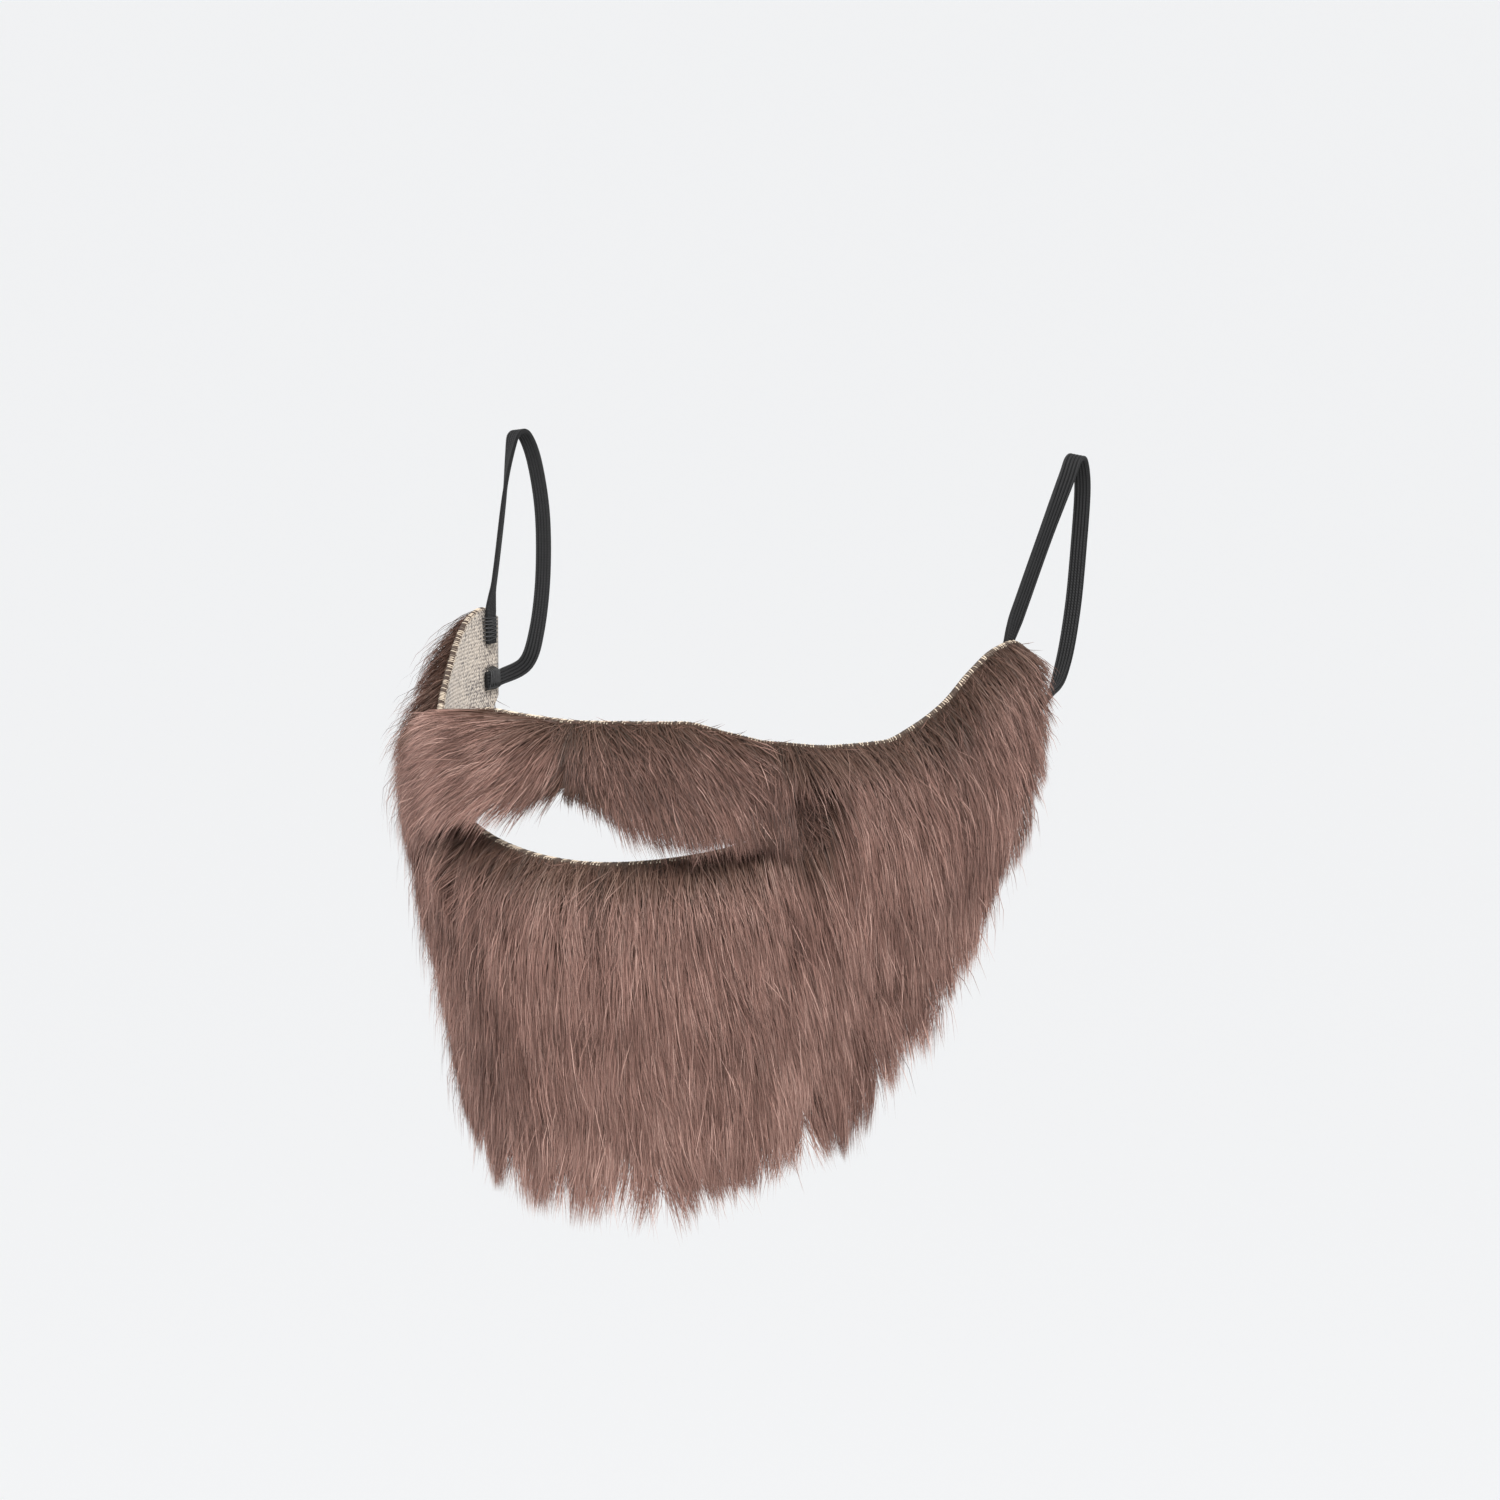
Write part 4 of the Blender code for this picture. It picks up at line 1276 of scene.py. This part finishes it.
# The free run, from where it leaves the sideburn: shares of the depth, rise and flare, and the
# turn from flat against the sideburn (0) to round the ear (1)
EAR_LOOP = [
    (0.21, 0.28, 0.28, 0.00),
    (0.47, 0.62, 0.66, 0.05),
    (0.69, 0.89, 0.97, 0.45),
    (0.80, 1.00, 1.05, 0.90),
    (0.95, 0.99, 1.00, 1.00),
    (1.08, 0.82, 0.85, 1.00),
    (1.13, 0.50, 0.60, 1.00),
    (1.08, 0.12, 0.45, 1.00),
    (0.93, -0.20, 0.35, 0.90),
    (0.70, -0.38, 0.25, 0.50),
]


def inside_cloth(angle, height):
    point, normal, _, _ = face_frame(np.array(angle), np.array(height))
    return point - normal * (ELASTIC_CLEARANCE + ELASTIC_THICKNESS / 2)


def elastic_route():
    """Points of the left elastic's middle line, each with its turn as a fourth number."""
    top_angle, top = float(angle_of(TOP_ANCHOR_STATION)), float(top_edge(TOP_ANCHOR_STATION))
    sewn_top = [inside_cloth(top_angle, top - ELASTIC_SEWN_LENGTH * s) for s in (1.0, 0.5, 0.0)]
    free = [
        sewn_top[-1] + np.array([EAR_LOOP_FLARE * out, EAR_LOOP_DEPTH * back, EAR_LOOP_RISE * up])
        for back, up, out, _ in EAR_LOOP
    ]
    low = float(hem(2.0) + (top_edge(2.0) - hem(2.0)) * LOW_ANCHOR_SHARE)
    inward = math.degrees(ELASTIC_SEWN_LENGTH / (FACE_WIDTH / 2))
    sewn_low = [inside_cloth(BACK_ANGLE - inward * s, low) for s in (0.0, 0.5, 1.0)]
    turns = [0.0] * 3 + [row[3] for row in EAR_LOOP] + [0.0] * 3
    return np.array([[*p, t] for p, t in zip(sewn_top + free + sewn_low, turns)])


def smooth_line(points, steps):
    """A smooth curve through points, with so many steps from each to the next."""
    ends = np.concatenate([[2 * points[0] - points[1]], points, [2 * points[-1] - points[-2]]])
    found = []
    for before, start, stop, after in zip(ends, ends[1:], ends[2:], ends[3:]):
        for t in np.arange(steps) / steps:
            found.append(0.5 * (
                2 * start + (stop - before) * t
                + (2 * before - 5 * start + 4 * stop - after) * t**2
                + (3 * start - before - 3 * stop + after) * t**3
            ))
    return np.array(found + [points[-1]])


route = smooth_line(elastic_route(), ROUTE_STEPS)
elastic_run = float(np.linalg.norm(np.diff(route[:, :3], axis=0), axis=1).sum())
print("each elastic is", round(elastic_run, 3), "m long")

# %% Sweep the ribbed band
RIBS = 5
RIB_STEPS = 6
RIB_FOOT = 0.24
RIB_RISE = 0.26
RIB_ROUNDING = 0.7
LOOP_TILT = 26.0
LOOP_TILT_RUN = 0.006


def rib_section():
    """The band's outline in shares of its width and thickness: round ribs on both faces."""
    turn = np.linspace(0, np.pi, RIB_STEPS, endpoint=False)
    upper = []
    for rib in range(RIBS):
        across = (rib + 0.5 - 0.5 * np.cos(turn)) / RIBS - 0.5
        height = RIB_FOOT + RIB_RISE * np.sin(turn) ** RIB_ROUNDING
        upper += list(zip(across, height))
    upper.append((0.5, RIB_FOOT))
    lower = [(w, -t) for w, t in upper[::-1]]
    return np.array(upper + lower)


def band(name, side):
    middle, turn = route[:, :3], np.clip(route[:, 3:], 0, 1)
    tangent = unit(np.gradient(middle, axis=0))

    def square(direction):
        return unit(direction - tangent * (direction * tangent).sum(axis=1, keepdims=True))

    run = np.concatenate([[0], np.cumsum(np.linalg.norm(np.diff(middle, axis=0), axis=1))])
    tilted = np.clip((run - ELASTIC_SEWN_LENGTH) / LOOP_TILT_RUN, 0, 1)
    tilt = math.radians(LOOP_TILT) * tilted
    flat = square(np.stack([np.cos(tilt), -np.sin(tilt), 0 * tilt], axis=1))
    around = square(middle - middle.mean(axis=0))
    normal = square(flat * (1 - turn) + around * turn)
    sideways = np.cross(tangent, normal)
    section = rib_section()
    points = (
        middle[:, None]
        + sideways[:, None] * section[None, :, :1] * ELASTIC_WIDTH
        + normal[:, None] * section[None, :, 1:] * ELASTIC_THICKNESS
    )
    rings, corners = points.shape[:2]
    points[..., 0] *= side
    index = np.arange(rings * corners).reshape(rings, corners)
    sides = ring_sides(index)
    caps = np.stack([index[0][::-1], index[-1]])
    if side < 0:
        sides, caps = sides[:, ::-1], caps[:, ::-1]
    place = np.stack(np.broadcast_arrays(np.arange(corners) / corners, run[:, None]), axis=-1)
    return mesh_object(name, points.reshape(-1, 3), [sides, caps], place.reshape(-1, 2), "braid")


elastic = Finish("black_elastic")
braid_across, braid_along = elastic.map_places("braid")
threads = (braid_along * (2 * math.pi / THREAD_PITCH) + braid_across * THREAD_SLANT).sine()
threads = threads * 0.5 + 0.5
# groove marks the dips between the ribs: it sinks the bump there, and it blacks out the colour as
# painted shade
groove = (((braid_across * (2 * RIBS)).fraction() - 0.5).size() * 2) ** 4
rib_tone_with_groove_shade = (threads * 0.35 + elastic.noise(900.0, 3.0) * 0.45 + 0.2) * (1 - groove)
ELASTIC = elastic.surface(
    Base_Color=elastic.mix(rib_tone_with_groove_shade.within(), (0.002, 0.002, 0.002), (0.022, 0.022, 0.023)),
    Roughness=0.62,
    Specular_IOR_Level=0.22,
    Normal=elastic.bump(threads - groove * 2, 0.6, 0.0002),
)
for name, side in (("ear_band_left", 1), ("ear_band_right", -1)):
    dress(band(name, side), ELASTIC, "elastic", name.replace("band", "elastic"))

# %% [markdown]
# Each end of the elastic is sewn to the inside of the cloth by a bar tack: a dense zigzag of black
# thread across the band.

# %% Sew the elastics on
THREAD_RADIUS = 0.00016
TACK_STITCHES = 12
TACK_SPAN = (0.12, 0.88)
TACK_OVERHANG = 0.0009
TACK_STEPS = 7
SINK_FROM = 0.72


def bar_tack(start, stop):
    """Zigzag threads over the left band between two places on its route."""
    middle = route[start:stop, :3]
    share, at = np.linspace(*TACK_SPAN, TACK_STITCHES + 1), np.linspace(0, 1, len(middle))
    along = np.stack([np.interp(share, at, middle[:, k]) for k in range(3)], axis=1)
    ahead = unit(middle[-1] - middle[0])
    inwards = unit(np.array([-1.0, 0, 0]) + ahead * ahead[0])
    across = np.cross(ahead, inwards)
    height = ELASTIC_THICKNESS / 2 + THREAD_RADIUS * 0.8
    sunk = ELASTIC_THICKNESS + ELASTIC_CLEARANCE * 1.4
    threads = []
    for number, (first, second) in enumerate(zip(along[:-1], along[1:])):
        swing = (ELASTIC_WIDTH / 2 + TACK_OVERHANG) * (1 if number % 2 else -1)
        path = []
        for step in np.linspace(-1, 1, TACK_STEPS):
            sink = max(abs(step) - SINK_FROM, 0) / (1 - SINK_FROM) * sunk
            place = first + (second - first) * (step + 1) / 2
            path.append(place + across * swing * step + inwards * (height - sink))
        threads.append(path)
    return np.array(threads)


sewn = int(round(len(route) * 2 / (len(EAR_LOOP) + 5)))
left_threads = np.concatenate([bar_tack(0, sewn), bar_tack(len(route) - sewn, len(route))])
all_threads = np.concatenate([left_threads, left_threads * np.array([-1.0, 1, 1])])
tacks = tubes("elastic_bar_tacks", all_threads, np.full(len(all_threads), THREAD_RADIUS))
thread = Finish("black_thread")
thread_colour = thread.mix(thread.noise(2500.0, 2.0), (0.008, 0.008, 0.008), (0.060, 0.060, 0.062))
dress(tacks, thread.surface(Base_Color=thread_colour, Roughness=0.5), "elastic")

# %% [markdown]
# ## The stage, the light and the camera
#
# The beard is held up in the shape that it has when worn, over a plain pale floor that reaches past
# the view. Two large soft lights and a pale sky light it from the front and both sides. The camera
# looks from the beard's own left and a little above, at the angle of the photograph.

# %% Set the stage
FLOOR_HEIGHT = -1.5
FLOOR_REACH = 400.0
FLOOR_TONES = [(0.980, 0.983, 0.988), (0.988, 0.991, 0.996)]
SKY_COLOUR = (0.985, 0.992, 1.0, 1.0)
SKY_STRENGTH = 0.905
BEARD_MIDDLE = Vector((0, 0.03, -0.04))
VIEW_ANGLE = 28.0
VIEW_RISE = 8.0
VIEW_DISTANCE = 1.35
LENS = 136.0
SENSOR = 36.0
AIM_ASIDE = 0.0417

bpy.ops.mesh.primitive_circle_add(
    vertices=96, radius=FLOOR_REACH, fill_type="NGON", location=(0, 0, FLOOR_HEIGHT)
)
floor = bpy.context.object
floor.name = "pale_floor"
pale = Finish("pale_paper")
grain = pale.node("ShaderNodeTexNoise", sockets={"Scale": 3.0, "Detail": 2.0})
floor.data.materials.append(pale.surface(Base_Color=pale.mix(grain, *FLOOR_TONES), Roughness=1.0))

sky = bpy.data.worlds.new("pale_sky")
sky.use_nodes = True
sky.node_tree.nodes["Background"].inputs["Color"].default_value = SKY_COLOUR
sky.node_tree.nodes["Background"].inputs["Strength"].default_value = SKY_STRENGTH
bpy.context.scene.world = sky
bpy.context.scene.view_settings.view_transform = "Standard"


def direction(angle, rise):
    """The way from the beard to a viewer or lamp. Angle 0 is straight ahead of the beard."""
    a, e = math.radians(angle), math.radians(rise)
    return Vector((math.sin(a) * math.cos(e), -math.cos(a) * math.cos(e), math.sin(e)))


def put(name, data, place, towards):
    """An object at a place, which looks back along a direction."""
    holder = bpy.data.objects.new(name, data)
    holder.location = place
    holder.rotation_euler = towards.to_track_quat("Z", "Y").to_euler()
    bpy.context.scene.collection.objects.link(holder)
    return holder


def add_lamp(name, angle, rise, distance, size, power):
    lamp = bpy.data.lights.new(name, "AREA")
    lamp.size = size
    lamp.energy = power
    towards = direction(angle, rise)
    put(name, lamp, towards * distance + BEARD_MIDDLE, towards)


add_lamp("key_light", 34.0, 42.0, 1.3, 0.5, 20.0)
add_lamp("fill_light", -48.0, 22.0, 1.4, 1.0, 9.0)

aside = Vector((math.cos(math.radians(VIEW_ANGLE)), math.sin(math.radians(VIEW_ANGLE)), 0))
eye = bpy.data.cameras.new("camera")
eye.lens = LENS
eye.sensor_width = SENSOR
towards = direction(VIEW_ANGLE, VIEW_RISE)
bpy.context.scene.camera = put("camera", eye, aside * AIM_ASIDE + towards * VIEW_DISTANCE, towards)
